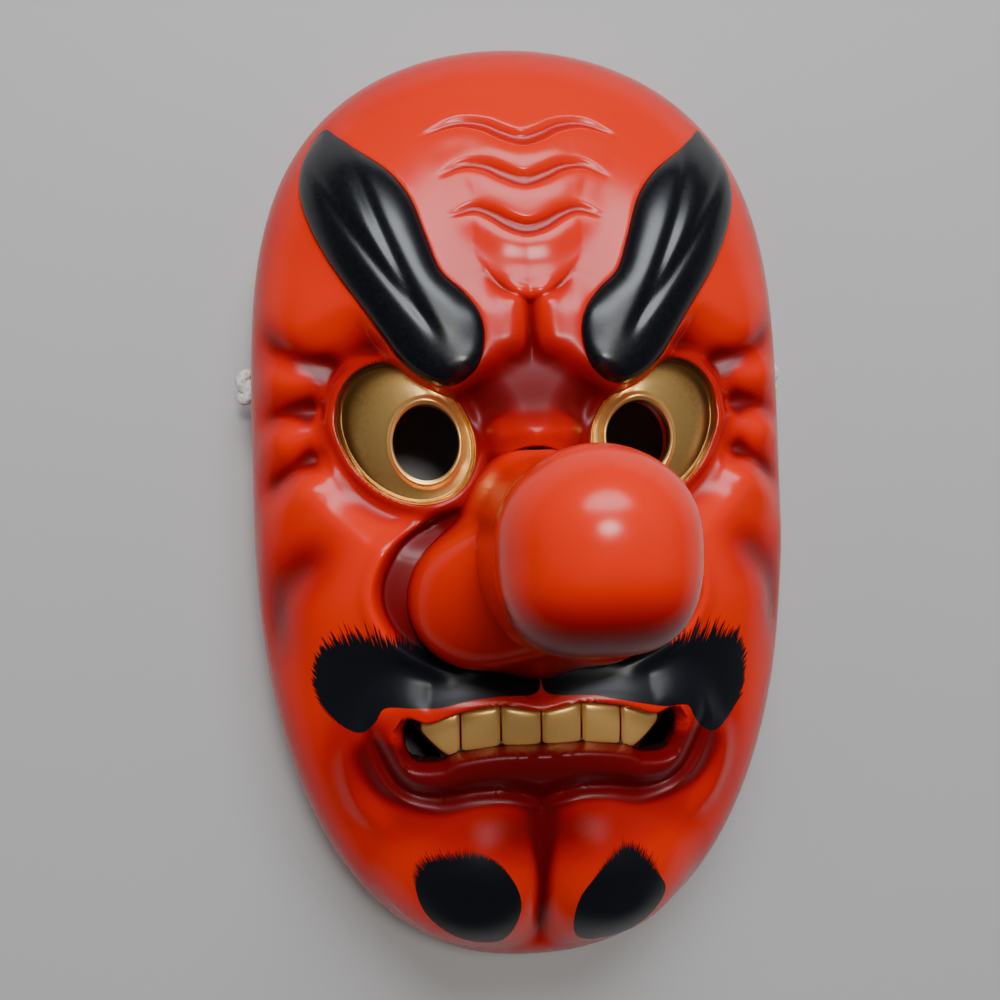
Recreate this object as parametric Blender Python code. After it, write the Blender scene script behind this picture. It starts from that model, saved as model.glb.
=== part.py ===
"""A tengu mask: one moulded shell with a long nose, and the cord that ties behind it.

Metres, +Z up. The mask lies on its rim, face up: the forehead is towards +Y and the nose
points up. The carving is drawn on a pattern in millimetres, 165 wide with its middle at the
widest row, and the pattern is stretched to the sizes below.
"""

import bmesh
import bpy
import numpy as np

# Driving sizes
MASK_WIDTH = 0.165
MASK_HEIGHT = 0.282
FACE_DEPTH = 0.066
NOSE_LENGTH = 0.111
WALL = 0.0034
WALL_LEAN = 0.0062
PUPIL_WIDTH = 0.0185
PUPIL_HEIGHT = 0.0215
CORD_DIAMETER = 0.003
CORD_HOLE_CLEARANCE = 0.0008
CORD_HOLE_HEIGHT = 0.0145
KNOT_DEPTH = 0.0068
KNOT_LENGTH = 0.0115
KNOT_HEIGHT = 0.0095
GAP = 0.0003
NOSE_SUNK = 0.0024
FACE_TUCKED = 0.0012
RIM_SPARE = 0.003

# How finely the surfaces are cut
AROUND = 176
FACE_RINGS = 64
WALL_RINGS = 7
BACK_RINGS = 16
NOSE_AROUND = 32
NOSE_RINGS = 5
KNOT_AROUND = 14
FACE_TRIANGLES = 5400

# The pattern, in millimetres from the middle of the widest row
HALF_WIDTH = 82.5
ABOVE = 140.5
BELOW = 141.5
CROWN = 66.0
WIDEST = 26.0
NOSE_FOOT = 61.0
WING_TOP = 84.0
NOSE_END = 150.0
NOSE_TOP = 177.0
CORD_ROW = 38.0

# Up the nose: height, the row of its middle, half-width and half-height
NOSE_SECTIONS = [
    (45.0, -18.5, 25.5, 35.5), (60.0, -18.3, 23.5, 34.0), (75.0, -16.6, 19.9, 27.3), (90.0, -15.2, 18.7, 23.8),
    (107.0, -14.2, 18.4, 22.0), (125.0, -13.4, 18.8, 21.0), (142.0, -12.7, 19.8, 21.1), (160.0, -12.0, 20.7, 21.5),
    (177.0, -11.5, 20.7, 21.5),
]
NOSE_BOXINESS = 0.8
NOSE_BLEND = 8.0
NOSTRIL = (17.0, -28.0, 60.0)
NOSTRIL_RADIUS = 20.0

BROW_OUTLINE = [
    (57.5, 111.5), (62.5, 103.5), (64.2, 92.5), (61.4, 80.5), (55.3, 67.5), (46.0, 53.0), (37.2, 39.5),
    (30.0, 33.0), (22.7, 31.0), (15.8, 35.5), (13.4, 43.5), (14.5, 51.0), (18.8, 57.5), (24.6, 63.5),
    (28.2, 73.3), (32.2, 85.0), (38.0, 93.5), (47.0, 101.5), (53.0, 107.5),
]
BROW_SPINE = [(57.0, 110.0), (52.0, 95.0), (44.0, 77.0), (34.5, 59.0), (26.0, 45.0), (22.5, 37.0)]
BROW_RISE = 3.6
EYE = (37.0, 19.0)
EYE_LONG = 22.3
EYE_SHORT = 17.0
EYE_BULGE = 7.0
LID_RISE = 2.2
PUPIL = (30.6, 16.0)
FROWN_LOBES = [
    ([(2.5, 60.0), (4.6, 53.0), (4.8, 44.0), (7.0, 38.0)], 2.6, 4.2),
    ([(15.0, 62.0), (12.0, 52.0), (11.5, 42.0), (16.5, 34.0), (26.0, 28.5)], 2.2, 5.0),
]
FROWN_NOTCH = [(0.0, 54.9), (5.5, 57.6), (9.3, 60.6), (12.2, 64.5)]
FROWN_VALLEY = [(0.0, 38.5), (6.2, 36.0), (12.0, 32.8), (18.2, 29.8), (24.0, 27.0)]
WRINKLES = [
    [(0.0, 103.0), (6.0, 105.0), (11.0, 107.6), (19.0, 108.6), (29.0, 104.6)],
    [(0.0, 90.0), (6.0, 92.0), (11.0, 94.4), (17.5, 95.0), (24.5, 91.6)],
    [(0.0, 75.8), (5.0, 77.2), (10.0, 80.2), (15.0, 81.6), (22.5, 79.2)],
]
WRINKLE_WIDTH = 3.8
WRINKLE_DEPTH = 1.2
CROW_CREASES = [
    [(53.0, 37.5), (62.0, 40.3), (68.5, 43.2), (74.5, 48.0), (80.5, 55.0)],
    [(60.0, 26.8), (68.6, 27.3), (74.7, 25.8), (79.8, 23.6)],
    [(59.0, 14.4), (66.6, 11.6), (73.4, 7.0), (79.8, 1.4)],
]
CROW_LOBES = [
    [(60.0, 33.0), (70.0, 35.0), (81.0, 38.0)],
    [(60.5, 20.5), (70.0, 19.0), (81.0, 13.0)],
    [(58.0, 6.5), (66.0, 1.5), (76.0, -8.0)],
]
LID_RIDGE = [(62.0, 36.0), (60.6, 27.2), (60.6, 17.6), (57.0, 7.5), (50.0, -1.0)]
CHEEK_FOLD = [(46.0, -9.5), (54.0, -11.8), (61.6, -15.2), (69.0, -20.5), (74.4, -28.5), (76.6, -41.0), (76.6, -56.0)]
NOSTRIL_RING = [
    (17.0, -0.5), (29.9, -5.5), (39.8, -12.4), (44.9, -24.9), (41.9, -36.2), (32.4, -44.8), (19.9, -50.0),
]
MOUTH = [
    (0.0, -60.8), (11.0, -59.0), (22.0, -60.2), (31.0, -63.0), (36.5, -61.5), (39.0, -64.0), (38.6, -69.0),
    (36.0, -73.6), (29.0, -74.0), (24.0, -71.8), (12.0, -70.2), (0.0, -70.3),
]
MOUTH_CORNER = [(37.6, -62.0), (38.6, -66.0), (37.8, -71.5), (34.5, -73.2), (28.5, -72.8), (33.0, -67.5)]
LIP_CREASE = [
    (0.0, -89.5), (3.5, -87.3), (11.0, -85.2), (20.0, -85.4), (30.0, -86.8), (39.0, -84.3), (45.0, -77.0),
    (48.0, -66.0), (46.0, -56.0),
]
JOWL_LINE = [(50.0, -60.0), (54.0, -75.0), (50.0, -88.0), (40.0, -97.0)]
TOOTH_WIDTH = 11.6
TEETH_RISE = 4.0

CORD_ROUTE = [
    (-81.5, 38.0, 1.0), (-72.0, 38.2, 1.0), (-64.0, 39.5, 0.62), (-57.0, 42.0, 0.12), (-49.0, 45.0, 0.0),
    (-30.0, 58.0, 0.0), (-6.0, 62.0, 0.0), (14.0, 50.0, 0.0), (17.0, 26.0, 0.0), (5.0, 3.0, 0.0),
    (6.0, -22.0, 0.0), (27.0, -34.0, 0.0), (48.0, -20.0, 0.0), (55.0, 4.0, 0.0), (58.0, 22.0, 0.08),
    (64.0, 34.5, 0.6), (72.0, 37.6, 1.0), (81.5, 38.0, 1.0),
]


# Small helpers for the pattern


def step(low, high, x):
    """0 at low, 1 at high, smooth between them."""
    t = np.clip((x - low) / (high - low), 0.0, 1.0)
    return t * t * (3.0 - 2.0 * t)


def hill(x, width):
    """A rounded hill, 1 high, at x = 0."""
    return np.exp(-((x / width) ** 2))


def spline(points, closed=False, each=6):
    """A smooth curve through the points, with this many steps between neighbours."""
    p = np.array(points, float)
    if closed:
        p = np.vstack([p[-1], p, p[:2]])
    else:
        p = np.vstack([2 * p[0] - p[1], p, 2 * p[-1] - p[-2]])
    t = np.linspace(0.0, 1.0, each, endpoint=False)[:, None, None]
    a, b, c, d = p[:-3], p[1:-2], p[2:-1], p[3:]
    curve = 2 * b + (c - a) * t + (2 * a - 5 * b + 4 * c - d) * t**2 + (3 * b - a - 3 * c + d) * t**3
    curve = 0.5 * curve.transpose(1, 0, 2).reshape(-1, p.shape[1])
    return curve if closed else np.vstack([curve, p[-2]])


def both_sides(points):
    """The right half of a line that crosses the middle, with its mirror image before it."""
    p = np.array(points, float)
    return np.vstack([p[:0:-1] * (-1.0, 1.0), p])


def beside(u, v, line, reach=30.0):
    """Signed distance to a line, positive on its left, and the share of the line passed there."""
    shape = u.shape
    u, v = u.ravel(), v.ravel()
    distance, share = np.full(u.size, reach), np.zeros(u.size)
    low, high = line.min(0) - reach, line.max(0) + reach
    close = np.flatnonzero((u > low[0]) & (u < high[0]) & (v > low[1]) & (v < high[1]))
    start, run = line[:-1], np.diff(line, axis=0)
    length = np.hypot(run[:, 0], run[:, 1])
    passed = np.cumsum(length) - length
    for block in np.array_split(close, close.size // 20000 + 1):
        du = u[block, None] - start[:, 0]
        dv = v[block, None] - start[:, 1]
        t = np.clip((du * run[:, 0] + dv * run[:, 1]) / length**2, 0.0, 1.0)
        away = np.hypot(du - t * run[:, 0], dv - t * run[:, 1])
        k = away.argmin(1)
        row = np.arange(block.size)
        turn = run[k, 0] * dv[row, k] - run[k, 1] * du[row, k]
        distance[block] = np.minimum(away[row, k], reach) * np.where(turn >= 0, 1.0, -1.0)
        share[block] = (passed[k] + t[row, k] * length[k]) / length.sum()
    return distance.reshape(shape), share.reshape(shape)


def within(u, v, outline):
    """Distance inside a closed outline, negative outside it."""
    loop = np.vstack([outline, outline[:1]])
    distance = np.abs(beside(u, v, loop)[0])
    odd = np.zeros(u.shape, bool)
    for (x0, y0), (x1, y1) in zip(loop[:-1], loop[1:]):
        if y0 != y1:
            odd ^= ((y0 > v) != (y1 > v)) & (u < (x1 - x0) * (v - y0) / (y1 - y0) + x0)
    return np.where(odd, distance, -distance)


# The form of the face, on the pattern


def edge_distance(angle):
    """How far the silhouette is from the pattern's middle: a superellipse, blunter above."""
    c = np.abs(np.cos(angle)) / HALF_WIDTH
    s = np.sin(angle)
    s = np.where(s > 0, s / ABOVE, -s / BELOW)
    upper = step(-30.0, 30.0, np.sin(angle) * 100.0)
    across, along = 2.33 - 0.33 * upper, 2.33 + 1.72 * upper
    r = np.full(np.shape(angle), 100.0)
    for _ in range(40):
        excess = (c * r) ** across + (s * r) ** along - 1.0
        slope = across * c * (c * r) ** (across - 1) + along * s * (s * r) ** (along - 1)
        r = r - excess / slope
    return r


def edge_share(u, v):
    return np.minimum(np.hypot(u, v) / edge_distance(np.arctan2(v, u)), 1.0)


def dome(u, v):
    """Height of the plain dome over the rim."""
    return WIDEST + (CROWN - WIDEST) * np.sqrt(1.0 - edge_share(u, v) ** 2.4)


def eye_share(s, v):
    """0 in the middle of the eye, 1 on its outline: an ellipse that leans outwards."""
    a, b = s - EYE[0], v - EYE[1]
    return np.hypot((a + b) / EYE_LONG, (b - a) / EYE_SHORT) * np.sqrt(0.5)


def carve_forehead(u, s, v):
    """The brow bone and the wrinkles, whose lower edges are crisp."""
    h = 1.5 * hill(np.hypot(u / 1.2, v - 88), 30) + 1.5 * hill(np.hypot(s - 64, v - 54), 13)
    spine, along = beside(s, v, spline(BROW_SPINE))
    h += 4.0 * hill(spine, 14) * step(-0.1, 0.5, along)
    for points in WRINKLES:
        off, pointed = wrinkle(u, v, points)
        half = 0.5 * WRINKLE_WIDTH * pointed
        channel = step(half + 0.9, half - 0.6, off) * step(-half - 0.5, -half + 0.5, off)
        h -= WRINKLE_DEPTH * np.sqrt(pointed) * channel
        h += pointed * (0.8 * hill(off + half + 2.8, 4.2) + 0.45 * hill(off - half - 2.2, 3.2))
    return h


def wrinkle(u, v, points):
    """Distance above a wrinkle's line, and its size there: 1 halfway, pointed at the tips."""
    off, share = beside(u, v, spline(both_sides(points)))
    return off, np.clip(1 - np.abs(2 * share - 1) ** 2.2, 0, 1)


def carve_brow(s, v):
    """How far the eyebrow stands over the forehead: three lobes between two long grooves."""
    spine, along = beside(s, v, spline(BROW_SPINE))
    inner = within(s, v, spline(BROW_OUTLINE, closed=True))
    round_over = 1.0 - np.clip(inner / 7.5, 0.0, 1.0)
    h = np.where(inner > 0, BROW_RISE * np.sqrt(1.0 - round_over**2), 0.0) * step(-0.1, 0.3, along)
    for side in (-1, 1):
        groove = spine - side * 8.5 * (0.86 - along) - 0.8
        h -= 0.8 * hill(groove, 1.7) * step(0.05, 0.3, along) * step(0.97, 0.75, along)
    return h


def carve_frown(u, s, v):
    """The knot between the brows: lobes, the notch over them, and the bridge below."""
    h = -(0.9 * hill(u, 1.8) + 0.6 * hill(u, 4.0)) * step(57, 53, v) * step(37, 45, v)
    for points, height, width in FROWN_LOBES:
        lobe, share = beside(s, v, spline(points))
        h += height * hill(lobe, width) * step(-0.1, 0.3, share) * step(1.1, 0.7, share)
    off, share = beside(s, v, spline(FROWN_NOTCH))
    h += 1.1 * step(-0.9, 0.9, off) * hill(off, 11) * step(17, 4, s)
    h -= 0.9 * hill(off, 1.6) * step(1.05, 0.5, share)
    off, share = beside(s, v, spline(FROWN_VALLEY))
    h -= 1.6 * hill(off, 4.6) * step(1.1, 0.7, share)
    h -= 2.2 * hill(np.hypot((s - 17) / 1.1, v - 23), 7.5)
    return h + 6.0 * step(18, 10, s) * hill(v - 17.5, 5.0)


def brow_clear(s, v):
    """0 under an eyebrow, 1 well outside it."""
    return step(1.5, -4.5, within(s, v, spline(BROW_OUTLINE, closed=True)))


def carve_socket(s, v):
    e = eye_share(s, v)
    return -6.0 * step(1.9, 1.15, e) + LID_RISE * hill(e - 1.06, 0.13) - 2.6 * step(1.03, 0.95, e)


def carve_eye(s, v):
    """The eyeball over its socket, with the raised ring round the pupil."""
    e = eye_share(s, v)
    ring = np.hypot((s - PUPIL[0]) / 9.3, (v - PUPIL[1]) / 11.2)
    return EYE_BULGE * np.sqrt(1.0 - np.minimum(e, 1.0) ** 2) + 1.0 * hill(ring - 1.06, 0.09)


def carve_temples(s, v):
    """The crow's feet: soft lobes between creases that leave a ridge round the eye."""
    h = np.zeros_like(s)
    for points in CROW_CREASES:
        off, share = beside(s, v, spline(points))
        ends = step(0.0, 0.22, share) * step(1.1, 0.45, share)
        h -= ends * (0.9 * hill(off, 2.0) + 1.4 * hill(off, 4.5))
    for points in CROW_LOBES:
        off, share = beside(s, v, spline(points))
        h += 1.8 * hill(off, 4.8) * step(-0.2, 0.2, share) * step(1.1, 0.4, share)
    off, share = beside(s, v, spline(LID_RIDGE))
    return h + 0.9 * hill(off, 2.2) * step(0.0, 0.3, share) * step(1.0, 0.6, share)


def carve_cheeks(u, s, v):
    h = 4.5 * hill(np.hypot((s - 50) / 1.1, v + 27), 24)
    off, share = beside(s, v, spline(CHEEK_FOLD))
    h -= 2.6 * hill(off, 7.0) * step(0.0, 0.4, share) * step(1.0, 0.6, share)
    off, share = beside(s, v, spline(NOSTRIL_RING))
    ends = step(0.0, 0.2, share) * step(1.0, 0.85, share)
    h -= 4.5 * step(0.5, -1.8, off) * step(-26, -12, off) * ends
    h += 1.2 * hill(off - 1.5, 2.5) * ends
    return h - 5.0 * hill(np.hypot(u / 36, (v + 50) / 9), 1.0)


def mouth_depth(u, v):
    """Distance inside the mouth's opening, negative on the lips."""
    loop = np.vstack([MOUTH, np.array(MOUTH[-2:0:-1]) * (-1, 1)])
    return within(u, v, spline(loop, closed=True))


def carve_mouth(u, s, v):
    """The lips round the teeth, the groove under them and the two lobes of the chin."""
    opening = mouth_depth(u, v)
    crease, share = beside(s, v, spline(LIP_CREASE), reach=90.0)
    h = 4.0 * step(-16, -3, opening) * step(-90, -80, v)
    h -= 3.2 * step(-1.0, 1.1, crease) * step(8.5, 0.5, crease) * step(1.0, 0.7, share)
    h -= 6.5 * step(-1.6, 0.6, opening)
    lobe = np.hypot((s - 20) / 1.15, v + 112)
    h += 7.8 * step(28, 5, lobe) * step(2.0, -2.0, crease)
    h -= (2.0 * hill(u, 5.0) + 1.3 * hill(u, 1.9)) * step(-84, -91, v) * step(-141, -122, v)
    off, share = beside(s, v, spline(JOWL_LINE))
    return h + 1.8 * hill(off, 4.0) * step(0.0, 0.3, share) * step(1.0, 0.65, share)


def carve_teeth(u, s, v):
    gap = np.abs(u / TOOTH_WIDTH - np.round(u / TOOTH_WIDTH)) * TOOTH_WIDTH
    return step(0.0, 1.2, mouth_depth(u, v)) * step(40, 30, s) * (TEETH_RISE - 1.3 * hill(gap, 0.7))


def relief(u, v):
    """How far the carving stands out of the dome, none at the silhouette."""
    s = np.abs(u)
    eye = carve_socket(s, v) + np.where(eye_share(s, v) < 1.0, carve_eye(s, v), 0.0)
    h = carve_forehead(u, s, v) + carve_brow(s, v) + carve_frown(u, s, v) + brow_clear(s, v) * eye
    h += carve_temples(s, v) + carve_cheeks(u, s, v) + carve_mouth(u, s, v) + carve_teeth(u, s, v)
    return h * step(1.0, 0.93, edge_share(u, v))


def dome_normal(u, v):
    """The dome's outward direction, nearly level at the silhouette."""
    e = 0.2
    k = np.minimum(1.0, 0.997 / np.maximum(edge_share(u, v), 1e-9))
    u, v = u * k, v * k
    n = np.stack([(dome(u - e, v) - dome(u + e, v)) / (2 * e), (dome(u, v - e) - dome(u, v + e)) / (2 * e)], -1)
    n = np.concatenate([n, np.ones(n.shape[:-1] + (1,))], -1)
    return n / np.linalg.norm(n, axis=-1, keepdims=True)


# The nose, on the same pattern


def soft_max(a, b, blend):
    t = np.clip(0.5 + 0.5 * (b - a) / blend, 0.0, 1.0)
    return a + (b - a) * t + blend * t * (1.0 - t)


def nose_sizes(z):
    """The row of the nose's middle, its half-width and its half-height at height z."""
    table = spline(NOSE_SECTIONS, each=8)
    return [np.interp(z, table[:, 0], table[:, k]) for k in (1, 2, 3)]


def nose_middle(z):
    return nose_sizes(z)[0]


def nose_distance(turn, z):
    """Distance of the nose's skin from its axis at height z; turn 0 is towards the forehead."""
    middle, wide, high = nose_sizes(z)
    close = np.clip((z - NOSE_END) / (NOSE_TOP - NOSE_END), 0.0, 1.0)
    end = np.maximum(1.0 - close**2.6, 0.0) ** (1 / 2.2)
    boxy = 2.0 + NOSE_BOXINESS * step(105, NOSE_END, z) * (0.5 - 0.5 * np.cos(turn))
    core = end * ((np.abs(np.sin(turn)) / wide) ** boxy + (np.abs(np.cos(turn)) / high) ** boxy) ** (-1 / boxy)
    a, b = NOSTRIL[0], NOSTRIL[1] - middle
    facing = a * np.abs(np.sin(turn)) + b * np.cos(turn)
    under = facing**2 - (a * a + b * b - NOSTRIL_RADIUS**2)
    wing = np.where(under > 0, facing + np.sqrt(np.maximum(under, 0.0)), 0.0)
    rise = np.clip((z - NOSTRIL[2]) / (WING_TOP - NOSTRIL[2]), 0.0, 1.0)
    return core + (soft_max(core, wing, NOSE_BLEND) - core) * (1.0 - rise**2.2) ** 0.9


# From the pattern to metres


def to_metres(points):
    """Pattern millimetres to metres, with the box's middle at x = y = 0 and the rim at z = 0."""
    x, y, z = np.moveaxis(np.asarray(points, float), -1, 0)
    face = np.minimum(z, CROWN) * FACE_DEPTH / CROWN
    nose = np.maximum(z - CROWN, 0.0) * NOSE_LENGTH / (NOSE_TOP - CROWN)
    across = MASK_WIDTH / (2 * HALF_WIDTH)
    up = MASK_HEIGHT / (ABOVE + BELOW)
    return np.stack([x * across, (y + (BELOW - ABOVE) / 2) * up, face + nose], -1)


def soften(h, times):
    """Evens out a ring-by-ring array, round the rings and across them."""
    for _ in range(times):
        h = (np.roll(h, 1, 1) + 2 * h + np.roll(h, -1, 1)) / 4
        h[1:-1] = (h[:-2] + 2 * h[1:-1] + h[2:]) / 4
    return h


def lowest_near(h, cells):
    """The lowest value within this many cells, so that no bulge is left on the back."""
    for _ in range(cells):
        h = np.minimum(h, np.minimum(np.roll(h, 1, 1), np.roll(h, -1, 1)))
        h[1:-1] = np.minimum(h[1:-1], np.minimum(h[:-2], h[2:]))
    return h


def offset(grid, distance):
    """A grid of points moved along its own normals, which point out of the mask."""
    round_way = np.roll(grid, -1, 1) - np.roll(grid, 1, 1)
    across = np.gradient(grid, axis=0)
    n = np.cross(across, round_way)
    n /= np.linalg.norm(n, axis=-1, keepdims=True)
    return grid + n * distance


def foot_curve(angle):
    """Where the nose's skin meets the face, as plan distances from the pattern's middle."""
    turns = np.linspace(-np.pi, np.pi, 721)
    r = nose_distance(turns, NOSE_FOOT)
    x, y = r * np.sin(turns), nose_middle(NOSE_FOOT) + r * np.cos(turns)
    at = np.arctan2(y, x)
    order = np.argsort(at)
    return np.interp(angle, at[order], np.hypot(x, y)[order], period=2 * np.pi)


def ring_shares(count):
    """Shares from the foot of the nose to the silhouette, evenly spaced along the surface."""
    share = np.linspace(0.0, 1.0, 2001)
    z = (CROWN - WIDEST) * np.sqrt(1.0 - (0.25 + 0.75 * share) ** 2.4)
    passed = np.concatenate([[0.0], np.cumsum(np.hypot(np.diff(share) * HALF_WIDTH, np.diff(z)))])
    return np.interp(np.linspace(0.0, passed[-1], count), passed, share)


def add_mesh(name, points, faces, material=None):
    mesh = bpy.data.meshes.new(name)
    mesh.from_pydata(points.tolist(), [], faces)
    form = bmesh.new()
    form.from_mesh(mesh)
    bmesh.ops.recalc_face_normals(form, faces=form.faces)
    form.to_mesh(mesh)
    form.free()
    mesh.shade_smooth()
    if material:
        mesh.materials.append(material)
    item = bpy.data.objects.new(name, mesh)
    bpy.context.collection.objects.link(item)
    return item


def skin(name, rings, material=None, ends=()):
    """Quads between rings of points: a closed band, or with two ends a closed bag."""
    rings = np.array(rings)
    rows, count = rings.shape[:2]
    j = np.arange(count)
    k = (j + 1) % count
    i = np.arange(rows - 1)[:, None] * count
    faces = np.stack([i + j, i + k, i + count + k, i + count + j], -1).reshape(-1, 4).tolist()
    last = (rows - 1) * count
    points = rings.reshape(-1, 3)
    if len(ends):
        points = np.vstack([points, ends])
        faces += np.stack([j, k, 0 * j + rows * count], -1).tolist()
        faces += np.stack([last + j, last + k, 0 * j + rows * count + 1], -1).tolist()
    else:
        faces += np.stack([last + j, last + k, k, j], -1).tolist()
    return add_mesh(name, points, faces, material)


def prism(name, outline, low, high):
    """A hidden cutter: an outline in the plan, from one height to another."""
    outline = np.asarray(outline)
    count = len(outline)
    points = np.vstack([np.column_stack([outline, np.full(count, z)]) for z in (low, high)])
    j = np.arange(count)
    k = (j + 1) % count
    faces = np.stack([j, k, k + count, j + count], -1).tolist()
    faces += [j[::-1].tolist(), (j + count).tolist()]
    return hide(add_mesh(name, points, faces))


def hide(item):
    item.hide_render = True
    item.display_type = "WIRE"
    return item


def combine(item, other, operation):
    cut = item.modifiers.new(f"{operation.lower()} {other.name}", "BOOLEAN")
    cut.operation = operation
    cut.solver = "EXACT"
    cut.object = other


def paint(name, color, roughness, metallic=0.0):
    made = bpy.data.materials.new(name)
    made.use_nodes = True
    shader = made.node_tree.nodes["Principled BSDF"]
    shader.inputs["Base Color"].default_value = (*color, 1.0)
    shader.inputs["Roughness"].default_value = roughness
    shader.inputs["Metallic"].default_value = metallic
    return made


# The shell


def face_shell(material):
    angles = np.linspace(0.0, 2 * np.pi, AROUND, endpoint=False)
    inner = foot_curve(angles) - 1000 * FACE_TUCKED
    r = inner + (edge_distance(angles) - inner) * ring_shares(FACE_RINGS)[:, None]
    u, v = r * np.cos(angles), r * np.sin(angles)
    base = np.stack([u, v, dome(u, v)], -1)
    normal = dome_normal(u, v)
    h = relief(u, v)
    front = to_metres(base + normal * h[..., None])
    # the side wall curves in from the silhouette to the rim
    edge = front[-1]
    out = np.stack([np.cos(angles), np.sin(angles), 0 * angles], -1)
    drop = np.append(np.linspace(0.0, 1.0, WALL_RINGS)[1:], 1.0 + RIM_SPARE / edge[0, 2])[:, None]
    side = edge * np.stack([1 + 0 * drop, 1 + 0 * drop, 1 - drop], -1) - out * WALL_LEAN * drop[..., None] ** 2
    # the back follows the softened front at the wall's thickness
    soft = soften(lowest_near(h, 4), 16)
    back = offset(to_metres(base + normal * soft[..., None]), -WALL)
    rows = np.round(np.linspace(0, FACE_RINGS - 1, BACK_RINGS)).astype(int)
    back_side = side - out * WALL
    back_edge = edge - out * WALL - (0, 0, 0.75 * WALL)
    rings = [*front, *side, *back_side[::-1][:-1], back_edge, *back[rows[:-1]][::-1]]
    return skin("mask_shell", rings, material)


def nose_skin():
    """The nose from inside the face to its tip: rings of points in metres, and the tip."""
    turns = np.linspace(0.0, 2 * np.pi, NOSE_AROUND, endpoint=False)
    r = nose_distance(turns, NOSE_FOOT)
    x, y = r * np.sin(turns), nose_middle(NOSE_FOOT) + r * np.cos(turns)
    foot = dome(x, y) + relief(x, y) - 1000 * NOSE_SUNK
    share = np.linspace(0.0, 1.0, NOSE_RINGS)[:, None]
    wings = foot + (WING_TOP - foot) * share
    shaft = WING_TOP + (NOSE_END - WING_TOP) * share[1:] + 0 * foot
    bend = np.linspace(0.0, 0.5 * np.pi, NOSE_RINGS + 1)[1:-1, None]
    end = NOSE_END + (NOSE_TOP - NOSE_END) * np.sin(bend) ** (2 / 2.6) + 0 * foot
    z = np.vstack([wings, shaft, end])
    r = nose_distance(turns, z)
    rings = np.stack([r * np.sin(turns), nose_middle(z) + r * np.cos(turns), z], -1)
    return to_metres(rings), to_metres([0.0, nose_middle(NOSE_TOP), NOSE_TOP])


def nose_shell():
    rings, tip = nose_skin()
    lining = offset(rings, -WALL)
    return hide(skin("nose", [*rings[::-1], *lining], ends=[tip, tip - (0, 0, WALL)]))


def pupil(side):
    turn = np.linspace(0.0, 2 * np.pi, 40, endpoint=False)
    middle = to_metres([side * PUPIL[0], PUPIL[1], 0.0])[:2]
    outline = middle + 0.5 * np.column_stack([PUPIL_WIDTH * np.cos(turn), PUPIL_HEIGHT * np.sin(turn)])
    return prism(f"pupil_{side:+d}", outline, 0.4 * FACE_DEPTH, 1.4 * FACE_DEPTH)


def mouth_corner(side):
    outline = spline(MOUTH_CORNER, closed=True, each=4) * (side, 1)
    outline = to_metres(np.column_stack([outline, 0 * outline[:, 0]]))[:, :2]
    return prism(f"mouth_corner_{side:+d}", outline, 0.4 * FACE_DEPTH, 1.4 * FACE_DEPTH)


def wall_at_cord():
    """How far the side wall stands from the middle, where the cord goes through it."""
    angle = np.arctan2(CORD_ROW, HALF_WIDTH)
    edge = to_metres([edge_distance(angle) * np.cos(angle), CORD_ROW, WIDEST])
    return edge[0] - WALL_LEAN * (1 - CORD_HOLE_HEIGHT / edge[2]) ** 2, edge[1]


def cord_hole(side):
    turn = np.linspace(0.0, 2 * np.pi, 24, endpoint=False)
    radius = 0.5 * CORD_DIAMETER + CORD_HOLE_CLEARANCE
    x, y = wall_at_cord()
    rings = [
        np.column_stack([0 * turn + side * (x + out), y + radius * np.cos(turn),
                         CORD_HOLE_HEIGHT + radius * np.sin(turn)])
        for out in (-3 * WALL, 2 * WALL)
    ]
    ends = [(side * (x - 3 * WALL), y, CORD_HOLE_HEIGHT), (side * (x + 2 * WALL), y, CORD_HOLE_HEIGHT)]
    return hide(skin(f"cord_hole_{side:+d}", rings, ends=ends))


def rim_cut():
    """The block under the mask that trims its rim flat."""
    x, y = 0.6 * MASK_WIDTH, 0.6 * MASK_HEIGHT
    return prism("rim_cut", [(-x, -y), (x, -y), (x, y), (-x, y)], -0.5 * FACE_DEPTH, 0.0)


def mask_shell():
    shell = face_shell(paint("red_lacquer", (0.72, 0.03, 0.01), 0.18))
    thin = shell.modifiers.new("fewer triangles", "DECIMATE")
    thin.ratio = FACE_TRIANGLES / (2 * len(shell.data.polygons))
    thin.use_symmetry = True
    combine(shell, rim_cut(), "DIFFERENCE")
    combine(shell, nose_shell(), "UNION")
    for cutter in (pupil, mouth_corner, cord_hole):
        for side in (-1, 1):
            combine(shell, cutter(side), "DIFFERENCE")
    return shell


# The cord and its knots


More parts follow.
